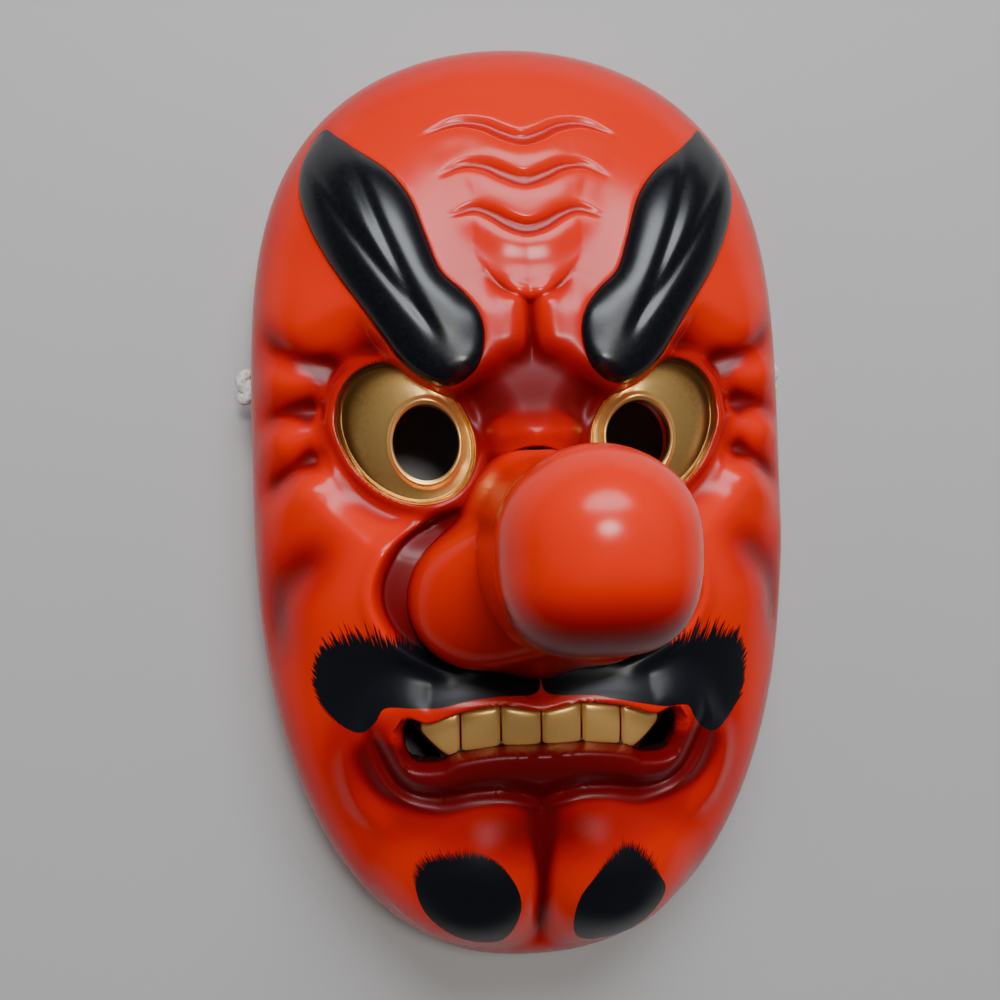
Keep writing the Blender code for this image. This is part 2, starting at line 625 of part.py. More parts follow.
def head_cord():
    route = np.array(CORD_ROUTE)
    lying = 0.5 * CORD_DIAMETER + GAP
    points = to_metres(route * (1, 1, 0))
    points[:, 2] = lying + (CORD_HOLE_HEIGHT - lying) * route[:, 2]
    points[[0, -1], 0] = (-wall_at_cord()[0], wall_at_cord()[0])
    fine = spline(points, each=30)
    passed = np.concatenate([[0.0], np.cumsum(np.linalg.norm(np.diff(fine, axis=0), axis=1))])
    count = int(passed[-1] / (2.5 * CORD_DIAMETER)) + 1
    even = np.linspace(0.0, passed[-1], count)
    path = np.stack([np.interp(even, passed, fine[:, axis]) for axis in range(3)], -1)
    curve = bpy.data.curves.new("head_cord", "CURVE")
    curve.dimensions = "3D"
    curve.bevel_depth = 0.5 * CORD_DIAMETER
    curve.bevel_resolution = 2
    curve.use_fill_caps = True
    line = curve.splines.new("POLY")
    line.points.add(count - 1)
    line.points.foreach_set("co", np.column_stack([path, np.ones(count)]).ravel())
    curve.materials.append(paint("white_cord", (0.78, 0.76, 0.7), 0.85))
    item = bpy.data.objects.new("head_cord", curve)
    bpy.context.collection.objects.link(item)
    return item


def cord_knot(side, name):
    """A stopper knot: a rounded lump, flattened towards the wall."""
    x, y = wall_at_cord()
    middle = np.array([side * (x + 2 * GAP + 0.5 * KNOT_DEPTH), y, CORD_HOLE_HEIGHT])
    tilt = np.linspace(0.0, np.pi, KNOT_AROUND // 2 + 1)[1:-1, None]
    turn = np.linspace(0.0, 2 * np.pi, KNOT_AROUND, endpoint=False)
    shape = np.stack([np.cos(tilt) + 0 * turn, np.sin(tilt) * np.cos(turn), np.sin(tilt) * np.sin(turn)], -1)
    size = 0.5 * np.array([KNOT_DEPTH, KNOT_LENGTH, KNOT_HEIGHT])
    ends = middle + np.array([(1, 0, 0), (-1, 0, 0)]) * size
    return skin(name, middle + shape * size, paint(name, (0.78, 0.76, 0.7), 0.85), ends)


def build():
    for item in list(bpy.data.objects):
        bpy.data.objects.remove(item, do_unlink=True)
    mask_shell()
    head_cord()
    cord_knot(-1, "cord_knot_left")
    cord_knot(1, "cord_knot_right")


build()
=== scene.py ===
"""The tengu mask's looks: carved lacquer face, hollow nose, painted brows, eyes and teeth.

The carving repeats the model's own functions on finer grids, so each piece keeps its form.
"""

import bmesh
import bpy
import numpy as np
from mathutils import Matrix, Vector


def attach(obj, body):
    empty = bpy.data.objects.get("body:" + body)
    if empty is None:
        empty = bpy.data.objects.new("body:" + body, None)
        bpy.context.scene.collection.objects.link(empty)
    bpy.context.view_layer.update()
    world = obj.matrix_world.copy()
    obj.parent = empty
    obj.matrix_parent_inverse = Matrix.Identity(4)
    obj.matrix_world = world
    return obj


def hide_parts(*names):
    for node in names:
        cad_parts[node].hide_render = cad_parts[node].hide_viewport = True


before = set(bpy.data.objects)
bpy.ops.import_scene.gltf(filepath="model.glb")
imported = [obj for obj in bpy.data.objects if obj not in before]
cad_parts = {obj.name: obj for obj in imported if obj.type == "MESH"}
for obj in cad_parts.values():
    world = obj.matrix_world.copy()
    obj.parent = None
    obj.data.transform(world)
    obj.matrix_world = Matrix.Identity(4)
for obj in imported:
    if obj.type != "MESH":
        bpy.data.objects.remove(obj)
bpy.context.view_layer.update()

# Sizes shared with the model, in metres
MASK_WIDTH = 0.165
MASK_HEIGHT = 0.282
FACE_DEPTH = 0.066
NOSE_LENGTH = 0.111
WALL = 0.0034
WALL_LEAN = 0.0062
PUPIL_WIDTH = 0.0185
PUPIL_HEIGHT = 0.0215
CORD_DIAMETER = 0.003
CORD_HOLE_CLEARANCE = 0.0008
CORD_HOLE_HEIGHT = 0.0145
KNOT_DEPTH = 0.0068
KNOT_STRAND = 0.0037
KNOT_LENGTH = 0.0115
KNOT_HEIGHT = 0.0095
GAP = 0.0003
NOSE_SUNK = 0.0024
FACE_TUCKED = 0.0012

# How finely the surfaces are cut
AROUND = 448
FACE_RINGS = 187
WALL_RINGS = 13
BACK_AROUND = 112
BACK_RINGS = 36
NOSE_AROUND = 224
NOSE_RINGS = 44
NOSE_LINING_RINGS = 36
BACK_EVERY = 3
BROW_ROWS = 150
BROW_COLUMNS = 48
BROW_STEPS = 40
EYE_AROUND = 160
EYE_RINGS = 72
EYE_TUBE_RINGS = 8
TOOTH_GRID = (40, 34)
CORD_AROUND = 20
KNOT_STEPS = 180
BACK_REACH = 4
BACK_SOFTENING = 16
HOLLOW_SPREAD = 60
SMOOTH_ANGLE = np.radians(50)
BROW_SMOOTH_ANGLE = np.radians(60)

# The pattern, in millimetres from the middle of the widest row
HALF_WIDTH = 82.5
ABOVE = 140.5
BELOW = 141.5
CROWN = 66.0
WIDEST = 26.0
DOME_ROUNDNESS = 2.4
NOSE_FOOT = 61.0
WING_TOP = 84.0
NOSE_END = 150.0
NOSE_TOP = 177.0
CORD_ROW = 38.0

# Up the nose: height, the row of its middle, half-width and half-height
NOSE_SECTIONS = [
    (45, -18.5, 25.5, 35.5), (60, -18.3, 23.5, 34), (75, -16.6, 19.9, 27.3),
    (90, -15.2, 18.7, 23.8), (107, -14.2, 18.4, 22), (125, -13.4, 18.8, 21),
    (142, -12.7, 19.8, 21.1), (160, -12, 20.7, 21.5), (177, -11.5, 20.7, 21.5),
]
NOSE_BOXINESS = 0.8
TIP_ROUNDNESS = 2.6
NOSE_BLEND = 8.0
NOSTRIL = (17, -28, 60)
NOSTRIL_RADIUS = 20.0

BROW_OUTLINE = [
    (57.5, 111.5), (62.5, 103.5), (64.2, 92.5), (61.4, 80.5), (55.3, 67.5), (46, 53), (37.2, 39.5),
    (30, 33), (22.7, 31), (15.8, 35.5), (13.4, 43.5), (14.5, 51), (18.8, 57.5), (24.6, 63.5),
    (28.2, 73.3), (32.2, 85), (38, 93.5), (47, 101.5), (53, 107.5),
]
BROW_SPINE = [(57, 110), (52, 95), (44, 77), (34.5, 59), (26, 45), (22.5, 37)]
BROW_FOOT = 8
BROW_RISE = 3.6
BROW_SEAT = 0.9
BROW_SUNK = 1.8
EYE = (37, 19)
EYE_LONG = 22.3
EYE_SHORT = 17.0
EYE_BULGE = 7.0
EYE_MARGIN = 1.03
EYE_SUNK = 1.5
EYE_BACK_RING = 40
EYE_BACK = 2.6
LID_RISE = 2.2
PUPIL = (30.6, 16)
FROWN_LOBES = [
    ([(2.5, 60), (4.6, 53), (4.8, 44), (7, 38)], 2.6, 4.2),
    ([(15, 62), (12, 52), (11.5, 42), (16.5, 34), (26, 28.5)], 2.2, 5),
]
FROWN_NOTCH = [(0, 54.9), (5.5, 57.6), (9.3, 60.6), (12.2, 64.5)]
FROWN_VALLEY = [(0, 38.5), (6.2, 36), (12, 32.8), (18.2, 29.8), (24, 27)]
WRINKLES = [
    [(0, 103), (6, 105), (11, 107.6), (19, 108.6), (29, 104.6)],
    [(0, 90), (6, 92), (11, 94.4), (17.5, 95), (24.5, 91.6)],
    [(0, 75.8), (5, 77.2), (10, 80.2), (15, 81.6), (22.5, 79.2)],
]
WRINKLE_WIDTH = 3.8
WRINKLE_DEPTH = 1.2
CROW_CREASES = [
    [(53, 37.5), (62, 40.3), (68.5, 43.2), (74.5, 48), (80.5, 55)],
    [(60, 26.8), (68.6, 27.3), (74.7, 25.8), (79.8, 23.6)],
    [(59, 14.4), (66.6, 11.6), (73.4, 7), (79.8, 1.4)],
]
CROW_LOBES = [
    [(60, 33), (70, 35), (81, 38)],
    [(60.5, 20.5), (70, 19), (81, 13)],
    [(58, 6.5), (66, 1.5), (76, -8)],
]
LID_RIDGE = [(62, 36), (60.6, 27.2), (60.6, 17.6), (57, 7.5), (50, -1)]
CHEEK_FOLD = [
    (46, -9.5), (54, -11.8), (61.6, -15.2), (69, -20.5), (74.4, -28.5), (76.6, -41), (76.6, -56),
]
NOSTRIL_RING = [
    (17, -0.5), (29.9, -5.5), (39.8, -12.4), (44.9, -24.9), (41.9, -36.2), (32.4, -44.8), (19.9, -50),
]
MOUTH = [
    (0, -60.8), (11, -59), (22, -60.2), (31, -63), (36.5, -61.5), (39, -64), (38.6, -69),
    (36, -73.6), (29, -74), (24, -71.8), (12, -70.2), (0, -70.3),
]
MOUTH_CORNER = [(37.6, -62), (38.6, -66), (37.8, -71.5), (34.5, -73.2), (28.5, -72.8), (33, -67.5)]
LIP_CREASE = [
    (0, -89.5), (3.5, -87.3), (11, -85.2), (20, -85.4), (30, -86.8), (39, -84.3), (45, -77),
    (48, -66), (46, -56),
]
JOWL_LINE = [(50, -60), (54, -75), (50, -88), (40, -97)]
TEETH = 6
TOOTH_WIDTH = 11.6
TOOTH_GAP = 0.15
TOOTH_BORDER = -3.9
TEETH_BACK = -7.5
TEETH_TOP = [(0, -61.2), (6, -60), (12, -59.2), (23, -60.4), (36, -62.8)]
TEETH_BOTTOM = [(0, -70.4), (12, -70.6), (23, -72), (27.5, -72.2), (36, -63.6)]

# Painted patches, the value that says well outside one, and the painted shade of the linings
OUTSIDE = -20.0
LINING_SHADE = 0.75
MOUSTACHE_LEFT = [
    (0.8, -50.5), (8, -47.5), (20, -46.5), (31, -42.6), (43.4, -41.5), (54.6, -41), (61.5, -44.5),
    (63, -52), (60.5, -58.5), (55.4, -63.8), (50.5, -64.8), (46.8, -61.8), (43.9, -57.6), (36, -57.6),
    (28.5, -57.7), (20, -56), (11.7, -55.3), (2, -55),
]
MOUSTACHE_RIGHT = [
    (0.8, -50.5), (8, -47.5), (20, -46.5), (31, -44.6), (44.1, -43.6), (52, -43), (58, -45),
    (61, -50.5), (60.6, -58.9), (57, -65.5), (51.2, -69.3), (47, -67.5), (44, -64), (41.5, -60.3),
    (35, -60.2), (28.6, -59), (20, -57.2), (14, -56), (2, -55.2),
]
CHIN_LEFT = [
    (7.1, -119), (8.1, -111), (12.5, -104.5), (18.1, -101.6), (26, -102), (33, -104),
    (36.4, -110.5), (34, -118.5), (26.9, -125.6), (19, -129.4), (11.5, -129.2),
]
CHIN_RIGHT = [
    (8.8, -120.5), (10.5, -113.5), (15, -107.8), (20.5, -103), (24.5, -102), (30, -107),
    (36, -114.5), (34.5, -121), (29, -127.5), (21, -132), (13, -132), (9.4, -127.5),
]

CORD_ROUTE = [
    (-81.5, 38, 1), (-72, 38.2, 1), (-64, 39.5, 0.62), (-57, 42, 0.12), (-49, 45, 0),
    (-30, 58, 0), (-6, 62, 0), (14, 50, 0), (17, 26, 0), (5, 3, 0),
    (6, -22, 0), (27, -34, 0), (48, -20, 0), (55, 4, 0), (58, 22, 0.08),
    (64, 34.5, 0.6), (72, 37.6, 1), (81.5, 38, 1),
]

# The camera looks down on the lying mask from close by, a little left of the nose
CAMERA_PLACE = (-0.040, -0.0035, 0.370)
CAMERA_TARGET = (-0.004, 0.0005, 0.0)
CAMERA_ROLL = 0.030
CAMERA_LENS = 39.6
CAMERA_SENSOR = 36.0

# Lamps: name, place, height of the point they face, size, watts, colour, and whether lacquer mirrors them
LAMPS = [
    ("window", (0.1, 1.15, 1.3), 0.05, (1.2, 0.7), 25.0, (0.90, 0.94, 1.0), True),
    ("ceiling", (0.10, 0.38, 1.5), 0.05, (0.38, 0.26), 9.0, (1.0, 0.98, 0.95), True),
    ("left_fill", (-1.5, 0.2, 1.1), 0.03, (1.3, 1.3), 4.0, (1.0, 0.95, 0.90), False),
    ("right_fill", (1.5, 0.2, 1.1), 0.03, (1.3, 1.3), 3.0, (1.0, 0.95, 0.90), False),
]
SKY = (0.75, 0.80, 0.90)
SKY_STRENGTH = 0.08


# Small helpers for the pattern


def step(low, high, x):
    """0 at low, 1 at high, smooth between them."""
    t = np.clip((x - low) / (high - low), 0.0, 1.0)
    return t * t * (3.0 - 2.0 * t)


def hill(x, width):
    """A rounded hill, 1 high, at x = 0."""
    return np.exp(-((x / width) ** 2))


def spot(x, y):
    """A rounded hill in two directions, 1 high, at x = y = 0."""
    return np.exp(-(x**2) - y**2)


def full_turn(count):
    """Evenly spaced angles, once round."""
    return np.linspace(0.0, 2 * np.pi, count, endpoint=False)


def spline(points, closed=False, each=6):
    """A smooth curve through the points, with this many steps between neighbours."""
    p = np.array(points, float)
    if closed:
        p = np.vstack([p[-1], p, p[:2]])
    else:
        p = np.vstack([2 * p[0] - p[1], p, 2 * p[-1] - p[-2]])
    t = np.linspace(0.0, 1.0, each, endpoint=False)[:, None, None]
    a, b, c, d = p[:-3], p[1:-2], p[2:-1], p[3:]
    curve = 2 * b + (c - a) * t + (2 * a - 5 * b + 4 * c - d) * t**2 + (3 * b - a - 3 * c + d) * t**3
    curve = 0.5 * curve.transpose(1, 0, 2).reshape(-1, p.shape[1])
    return curve if closed else np.vstack([curve, p[-2]])


def distances(path):
    """How far each point of a path is from its start, along it."""
    return np.concatenate([[0.0], np.cumsum(np.linalg.norm(np.diff(path, axis=0), axis=1))])


def points_along(path, shares):
    """Points of a path at these shares of its length."""
    passed = distances(path)
    return np.stack([np.interp(shares * passed[-1], passed, axis) for axis in path.T], -1)


def both_sides(points):
    """The right half of a line that crosses the middle, with its mirror image before it."""
    p = np.array(points, float)
    return np.vstack([p[:0:-1] * (-1.0, 1.0), p])


def beside(u, v, line, reach=30.0):
    """Signed distance to a line, positive on its left, and the share of the line passed there."""
    shape = u.shape
    u, v = u.ravel(), v.ravel()
    distance, share = np.full(u.size, reach), np.zeros(u.size)
    low, high = line.min(0) - reach, line.max(0) + reach
    close = np.flatnonzero((u > low[0]) & (u < high[0]) & (v > low[1]) & (v < high[1]))
    start, run = line[:-1], np.diff(line, axis=0)
    length = np.hypot(run[:, 0], run[:, 1])
    passed = np.cumsum(length) - length
    for block in np.array_split(close, close.size // 20000 + 1):
        du = u[block, None] - start[:, 0]
        dv = v[block, None] - start[:, 1]
        t = np.clip((du * run[:, 0] + dv * run[:, 1]) / length**2, 0.0, 1.0)
        away = np.hypot(du - t * run[:, 0], dv - t * run[:, 1])
        k = away.argmin(1)
        row = np.arange(block.size)
        turn = run[k, 0] * dv[row, k] - run[k, 1] * du[row, k]
        distance[block] = np.minimum(away[row, k], reach) * np.where(turn >= 0, 1.0, -1.0)
        share[block] = (passed[k] + t[row, k] * length[k]) / length.sum()
    return distance.reshape(shape), share.reshape(shape)


def within(u, v, points):
    """Distance inside the closed curve through the points, negative outside it."""
    loop = spline(points, closed=True)
    loop = np.vstack([loop, loop[:1]])
    distance = np.abs(beside(u, v, loop)[0])
    odd = np.zeros(u.shape, bool)
    for (x0, y0), (x1, y1) in zip(loop[:-1], loop[1:]):
        if y0 != y1:
            odd ^= ((y0 > v) != (y1 > v)) & (u < (x1 - x0) * (v - y0) / (y1 - y0) + x0)
    return np.where(odd, distance, -distance)


def ridge(u, v, points, width, start, end):
    """A rounded hill along a line, growing over one span of its shares and dying out over another."""
    off, share = beside(u, v, spline(points))
    return hill(off, width) * step(*start, share) * step(*end, share)


# The form of the face, on the pattern


def edge_distance(angle):
    """How far the silhouette is from the pattern's middle: a superellipse, blunter above."""
    c = np.abs(np.cos(angle)) / HALF_WIDTH
    s = np.sin(angle)
    s = np.where(s > 0, s / ABOVE, -s / BELOW)
    upper = step(-30.0, 30.0, np.sin(angle) * 100.0)
    across, along = 2.33 - 0.33 * upper, 2.33 + 1.72 * upper
    r = np.full(np.shape(angle), 100.0)
    for _ in range(40):
        excess = (c * r) ** across + (s * r) ** along - 1.0
        slope = across * c * (c * r) ** (across - 1) + along * s * (s * r) ** (along - 1)
        r = r - excess / slope
    return r


def edge_share(u, v):
    """0 in the pattern's middle, 1 on the silhouette."""
    return np.minimum(np.hypot(u, v) / edge_distance(np.arctan2(v, u)), 1.0)


def dome(u, v):
    """Height of the plain dome over the rim."""
    return WIDEST + (CROWN - WIDEST) * np.sqrt(1.0 - edge_share(u, v) ** DOME_ROUNDNESS)


def eye_frame(a, b):
    """A step on the face as shares of the eye's long and short half-axes, which lean by 45 degrees."""
    return np.stack([(a + b) / EYE_LONG, (b - a) / EYE_SHORT], -1) * np.sqrt(0.5)


def eye_share(s, v):
    """0 in the middle of the eye, 1 on its outline: an ellipse that leans outwards."""
    return np.linalg.norm(eye_frame(s - EYE[0], v - EYE[1]), axis=-1)


def carve_forehead(u, s, v):
    """The brow bone and the wrinkles, whose lower edges are crisp."""
    h = 1.5 * hill(np.hypot(u / 1.2, v - 88), 30) + 1.5 * hill(np.hypot(s - 64, v - 54), 13)
    spine, along = beside(s, v, spline(BROW_SPINE))
    h += 4.0 * hill(spine, 14) * step(-0.1, 0.5, along)
    for points in WRINKLES:
        off, pointed = wrinkle(u, v, points)
        half = 0.5 * WRINKLE_WIDTH * pointed
        channel = step(half + 0.9, half - 0.6, off) * step(-half - 0.5, -half + 0.5, off)
        h -= WRINKLE_DEPTH * np.sqrt(pointed) * channel
        h += pointed * (0.8 * hill(off + half + 2.8, 4.2) + 0.45 * hill(off - half - 2.2, 3.2))
    return h


def wrinkle(u, v, points):
    """Distance above a wrinkle's line, and its size there: 1 halfway, pointed at the tips."""
    off, share = beside(u, v, spline(both_sides(points)))
    return off, np.clip(1 - np.abs(2 * share - 1) ** 2.2, 0, 1)


def carve_brow(s, v):
    """How far the eyebrow stands over the forehead: three lobes between two long grooves."""
    spine, along = beside(s, v, spline(BROW_SPINE))
    inner = within(s, v, BROW_OUTLINE)
    round_over = 1.0 - np.clip(inner / 7.5, 0.0, 1.0)
    h = np.where(inner > 0, BROW_RISE * np.sqrt(1.0 - round_over**2), 0.0) * step(-0.1, 0.3, along)
    for side in (-1, 1):
        groove = spine - side * 8.5 * (0.86 - along) - 0.8
        h -= 0.8 * hill(groove, 1.7) * step(0.05, 0.3, along) * step(0.97, 0.75, along)
    return h


def carve_frown(u, s, v):
    """The knot between the brows: lobes, the notch over them, and the bridge below."""
    h = -(0.9 * hill(u, 1.8) + 0.6 * hill(u, 4.0)) * step(57, 53, v) * step(37, 45, v)
    for points, height, width in FROWN_LOBES:
        h += height * ridge(s, v, points, width, (-0.1, 0.3), (1.1, 0.7))
    off, share = beside(s, v, spline(FROWN_NOTCH))
    h += 1.1 * step(-0.9, 0.9, off) * hill(off, 11) * step(17, 4, s)
    h -= 0.9 * hill(off, 1.6) * step(1.05, 0.5, share)
    h -= 1.6 * ridge(s, v, FROWN_VALLEY, 4.6, (-1.0, 0.0), (1.1, 0.7))
    h -= 2.2 * hill(np.hypot((s - 17) / 1.1, v - 23), 7.5)
    return h + 6.0 * step(18, 10, s) * hill(v - 17.5, 5.0)


def brow_clear(s, v):
    """0 under an eyebrow, 1 well outside it."""
    return step(1.5, -4.5, within(s, v, BROW_OUTLINE))


def carve_socket(s, v):
    """The hollow round the eye, the lid's ridge on its outline, and the seat inside it."""
    e = eye_share(s, v)
    return -6.0 * step(1.9, 1.15, e) + LID_RISE * hill(e - 1.06, 0.13) - 2.6 * step(1.03, 0.95, e)


def carve_eye(s, v):
    """The eyeball over its socket, with the raised ring round the pupil."""
    e = eye_share(s, v)
    ring = np.hypot((s - PUPIL[0]) / 9.3, (v - PUPIL[1]) / 11.2)
    return EYE_BULGE * np.sqrt(1.0 - np.minimum(e, 1.0) ** 2) + 1.0 * hill(ring - 1.06, 0.09)


def carve_temples(s, v):
    """The crow's feet: soft lobes between creases that leave a ridge round the eye."""
    h = np.zeros_like(s)
    for points in CROW_CREASES:
        off, share = beside(s, v, spline(points))
        h -= (0.9 * hill(off, 2.0) + 1.4 * hill(off, 4.5)) * step(0.0, 0.22, share) * step(1.1, 0.45, share)
    for points in CROW_LOBES:
        h += 1.8 * ridge(s, v, points, 4.8, (-0.2, 0.2), (1.1, 0.4))
    return h + 0.9 * ridge(s, v, LID_RIDGE, 2.2, (0.0, 0.3), (1.0, 0.6))


def carve_cheeks(u, s, v):
    """The cheek's bulge, the fold beside it, the groove round the nostril and the dip over the lip."""
    h = 4.5 * hill(np.hypot((s - 50) / 1.1, v + 27), 24)
    h -= 2.6 * ridge(s, v, CHEEK_FOLD, 7.0, (0.0, 0.4), (1.0, 0.6))
    off, share = beside(s, v, spline(NOSTRIL_RING))
    ends = step(0.0, 0.2, share) * step(1.0, 0.85, share)
    h -= 4.5 * step(0.5, -1.8, off) * step(-26, -12, off) * ends
    h += 1.2 * hill(off - 1.5, 2.5) * ends
    return h - 5.0 * spot(u / 36, (v + 50) / 9)


def mouth_depth(u, v):
    """Distance inside the mouth's opening, negative on the lips."""
    loop = np.vstack([MOUTH, np.array(MOUTH[-2:0:-1]) * (-1, 1)])
    return within(u, v, loop)


def carve_mouth(u, s, v):
    """The lips round the teeth, the groove under them and the two lobes of the chin."""
    opening = mouth_depth(u, v)
    crease, share = beside(s, v, spline(LIP_CREASE), reach=90.0)
    h = 4.0 * step(-16, -3, opening) * step(-90, -80, v)
    h -= 3.2 * step(-1.0, 1.1, crease) * step(8.5, 0.5, crease) * step(1.0, 0.7, share)
    h -= 6.5 * step(-1.6, 0.6, opening)
    lobe = np.hypot((s - 20) / 1.15, v + 112)
    h += 7.8 * step(28, 5, lobe) * step(2.0, -2.0, crease)
    h -= (2.0 * hill(u, 5.0) + 1.3 * hill(u, 1.9)) * step(-84, -91, v) * step(-141, -122, v)
    return h + 1.8 * ridge(s, v, JOWL_LINE, 4.0, (0.0, 0.3), (1.0, 0.65))


def relief(u, v, clear=None):
    """How far the carving under the painted pieces stands out of the dome."""
    s = np.abs(u)
    clear = brow_clear(s, v) if clear is None else clear
    h = carve_forehead(u, s, v) + carve_frown(u, s, v) + clear * carve_socket(s, v)
    return h + carve_temples(s, v) + carve_cheeks(u, s, v) + carve_mouth(u, s, v)


def fade(u, v):
    """The carving runs out towards the silhouette."""
    return step(1.0, 0.93, edge_share(u, v))


def dome_normal(u, v):
    """The dome's outward direction, nearly level at the silhouette."""
    e = 0.2
    k = np.minimum(1.0, 0.997 / np.maximum(edge_share(u, v), 1e-9))
    u, v = u * k, v * k
    n = np.stack([dome(u - e, v) - dome(u + e, v), dome(u, v - e) - dome(u, v + e), 2 * e + 0 * u], -1)
    return n / np.linalg.norm(n, axis=-1, keepdims=True)


def lifted(u, v, h):
    """Points of the dome raised by h along its normals, in metres."""
    return to_metres(np.stack([u, v, dome(u, v)], -1) + dome_normal(u, v) * np.asarray(h)[..., None])


# The nose, on the same pattern


def soft_max(a, b, blend):
    """The larger of two lengths, rounded where they are nearly equal."""
    t = np.clip(0.5 + 0.5 * (b - a) / blend, 0.0, 1.0)
    return a + (b - a) * t + blend * t * (1.0 - t)


def nose_sizes(z):
    """The row of the nose's middle, its half-width and its half-height at height z."""
    table = spline(NOSE_SECTIONS, each=8)
    return [np.interp(z, table[:, 0], table[:, k]) for k in (1, 2, 3)]


def nose_distance(turn, z):
    """Distance of the nose's skin from its axis at height z; turn 0 is towards the forehead."""
    middle, wide, high = nose_sizes(z)
    close = np.clip((z - NOSE_END) / (NOSE_TOP - NOSE_END), 0.0, 1.0)
    end = np.maximum(1.0 - close**TIP_ROUNDNESS, 0.0) ** (1 / 2.2)
    boxy = 2.0 + NOSE_BOXINESS * step(105, NOSE_END, z) * (0.5 - 0.5 * np.cos(turn))
    across, along = np.abs(np.sin(turn)) / wide, np.abs(np.cos(turn)) / high
    core = end * (across**boxy + along**boxy) ** (-1 / boxy)
    a, b = NOSTRIL[0], NOSTRIL[1] - middle
    facing = a * np.abs(np.sin(turn)) + b * np.cos(turn)
    under = facing**2 - (a * a + b * b - NOSTRIL_RADIUS**2)
    wing = np.where(under > 0, facing + np.sqrt(np.maximum(under, 0.0)), 0.0)
    rise = np.clip((z - NOSTRIL[2]) / (WING_TOP - NOSTRIL[2]), 0.0, 1.0)
    return core + (soft_max(core, wing, NOSE_BLEND) - core) * (1.0 - rise**2.2) ** 0.9


def nose_skin(turn, z):
    """Plan place of the nose's skin: its distance from the axis, turned about it."""
    r = nose_distance(turn, z)
    return r * np.sin(turn), nose_sizes(z)[0] + r * np.cos(turn)


# From the pattern to metres


def to_metres(points):
    """Pattern millimetres to metres, with the box's middle at x = y = 0 and the rim at z = 0."""
    x, y, z = np.moveaxis(np.asarray(points, float), -1, 0)
    face = np.minimum(z, CROWN) * FACE_DEPTH / CROWN
    nose = np.maximum(z - CROWN, 0.0) * NOSE_LENGTH / (NOSE_TOP - CROWN)
    across = MASK_WIDTH / (2 * HALF_WIDTH)
    up = MASK_HEIGHT / (ABOVE + BELOW)
    return np.stack([x * across, (y + (BELOW - ABOVE) / 2) * up, face + nose], -1)


def to_pattern(points):
    """Plan places in metres back to the pattern."""
    u = points[:, 0] * 2 * HALF_WIDTH / MASK_WIDTH
    return u, points[:, 1] * (ABOVE + BELOW) / MASK_HEIGHT - (BELOW - ABOVE) / 2


def soften(h, times):
    """Evens out a ring-by-ring array, round the rings and across them."""
    for _ in range(times):
        h = (np.roll(h, 1, 1) + 2 * h + np.roll(h, -1, 1)) / 4
        h[1:-1] = (h[:-2] + 2 * h[1:-1] + h[2:]) / 4
    return h


def lowest_near(h, cells):
    """The lowest value within this many cells, so that no bulge is left on the back."""
    for _ in range(cells):
        h = np.minimum(h, np.minimum(np.roll(h, 1, 1), np.roll(h, -1, 1)))
        h[1:-1] = np.minimum(h[1:-1], np.minimum(h[:-2], h[2:]))
    return h


def offset(grid, distance):
    """A grid of points moved along its own normals, which point out of the mask."""
    round_way = np.roll(grid, -1, 1) - np.roll(grid, 1, 1)
    across = np.gradient(grid, axis=0)
    n = np.cross(across, round_way)
    n /= np.linalg.norm(n, axis=-1, keepdims=True)
    return grid + n * distance


def foot_curve(angle):
    """Where the nose's skin meets the face, as plan distances from the pattern's middle."""
    x, y = nose_skin(np.linspace(-np.pi, np.pi, 721), NOSE_FOOT)
    at = np.arctan2(y, x)
    order = np.argsort(at)
    return np.interp(angle, at[order], np.hypot(x, y)[order], period=2 * np.pi)


def ring_shares(count):
    """Shares from the foot of the nose to the silhouette, evenly spaced along the surface."""
    share = np.linspace(0.0, 1.0, 2001)
    z = (CROWN - WIDEST) * np.sqrt(1.0 - (0.25 + 0.75 * share) ** DOME_ROUNDNESS)
    passed = distances(np.column_stack([share * HALF_WIDTH, z]))
    return np.interp(np.linspace(0.0, passed[-1], count), passed, share)


# Meshes


def placed(name, data):
    """An object of the scene that holds this mesh, camera or light."""
    item = bpy.data.objects.new(name, data)
    bpy.context.collection.objects.link(item)
    return item


def add_mesh(name, points, faces, material):
    """One piece of the mask, with its vertices where they belong."""
    mesh = bpy.data.meshes.new(name)
    mesh.from_pydata(points.tolist(), [], faces)
    mesh.materials.append(material)
    item = placed(name, mesh)
    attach(item, "root")
    return item


def band(first, second, count):
    """Quads between two rings of as many points, given by their first vertices."""
    j = np.arange(count)
    k = (j + 1) % count
    return np.stack([first + j, first + k, second + k, second + j], -1).reshape(-1, 4).tolist()


def quads(rows, count, first=0):
    """Quads between rings of points, the first ring starting at this vertex."""
    ring = first + np.arange(rows - 1)[:, None] * count
    return band(ring, ring + count, count)


def fan(first, pole, count):
    """Triangles from a ring to one vertex."""
    j = np.arange(count)
    return np.stack([first + j, first + (j + 1) % count, 0 * j + pole], -1).tolist()


def slab(rows, columns, first=0):
    """Faces of two grids of points, one under the other, and of the wall round their border."""
    count = rows * columns
    i = first + np.arange(count).reshape(rows, columns)
    cells = np.stack([i[:-1, :-1], i[:-1, 1:], i[1:, 1:], i[1:, :-1]], -1).reshape(-1, 4)
    border = np.concatenate([i[0, :-1], i[:-1, -1], i[-1, :0:-1], i[:0:-1, 0]])
    after = np.roll(border, -1)
    wall = np.stack([border, after, after + count, border + count], -1)
    return np.vstack([cells, cells[:, ::-1] + count, wall]).tolist()


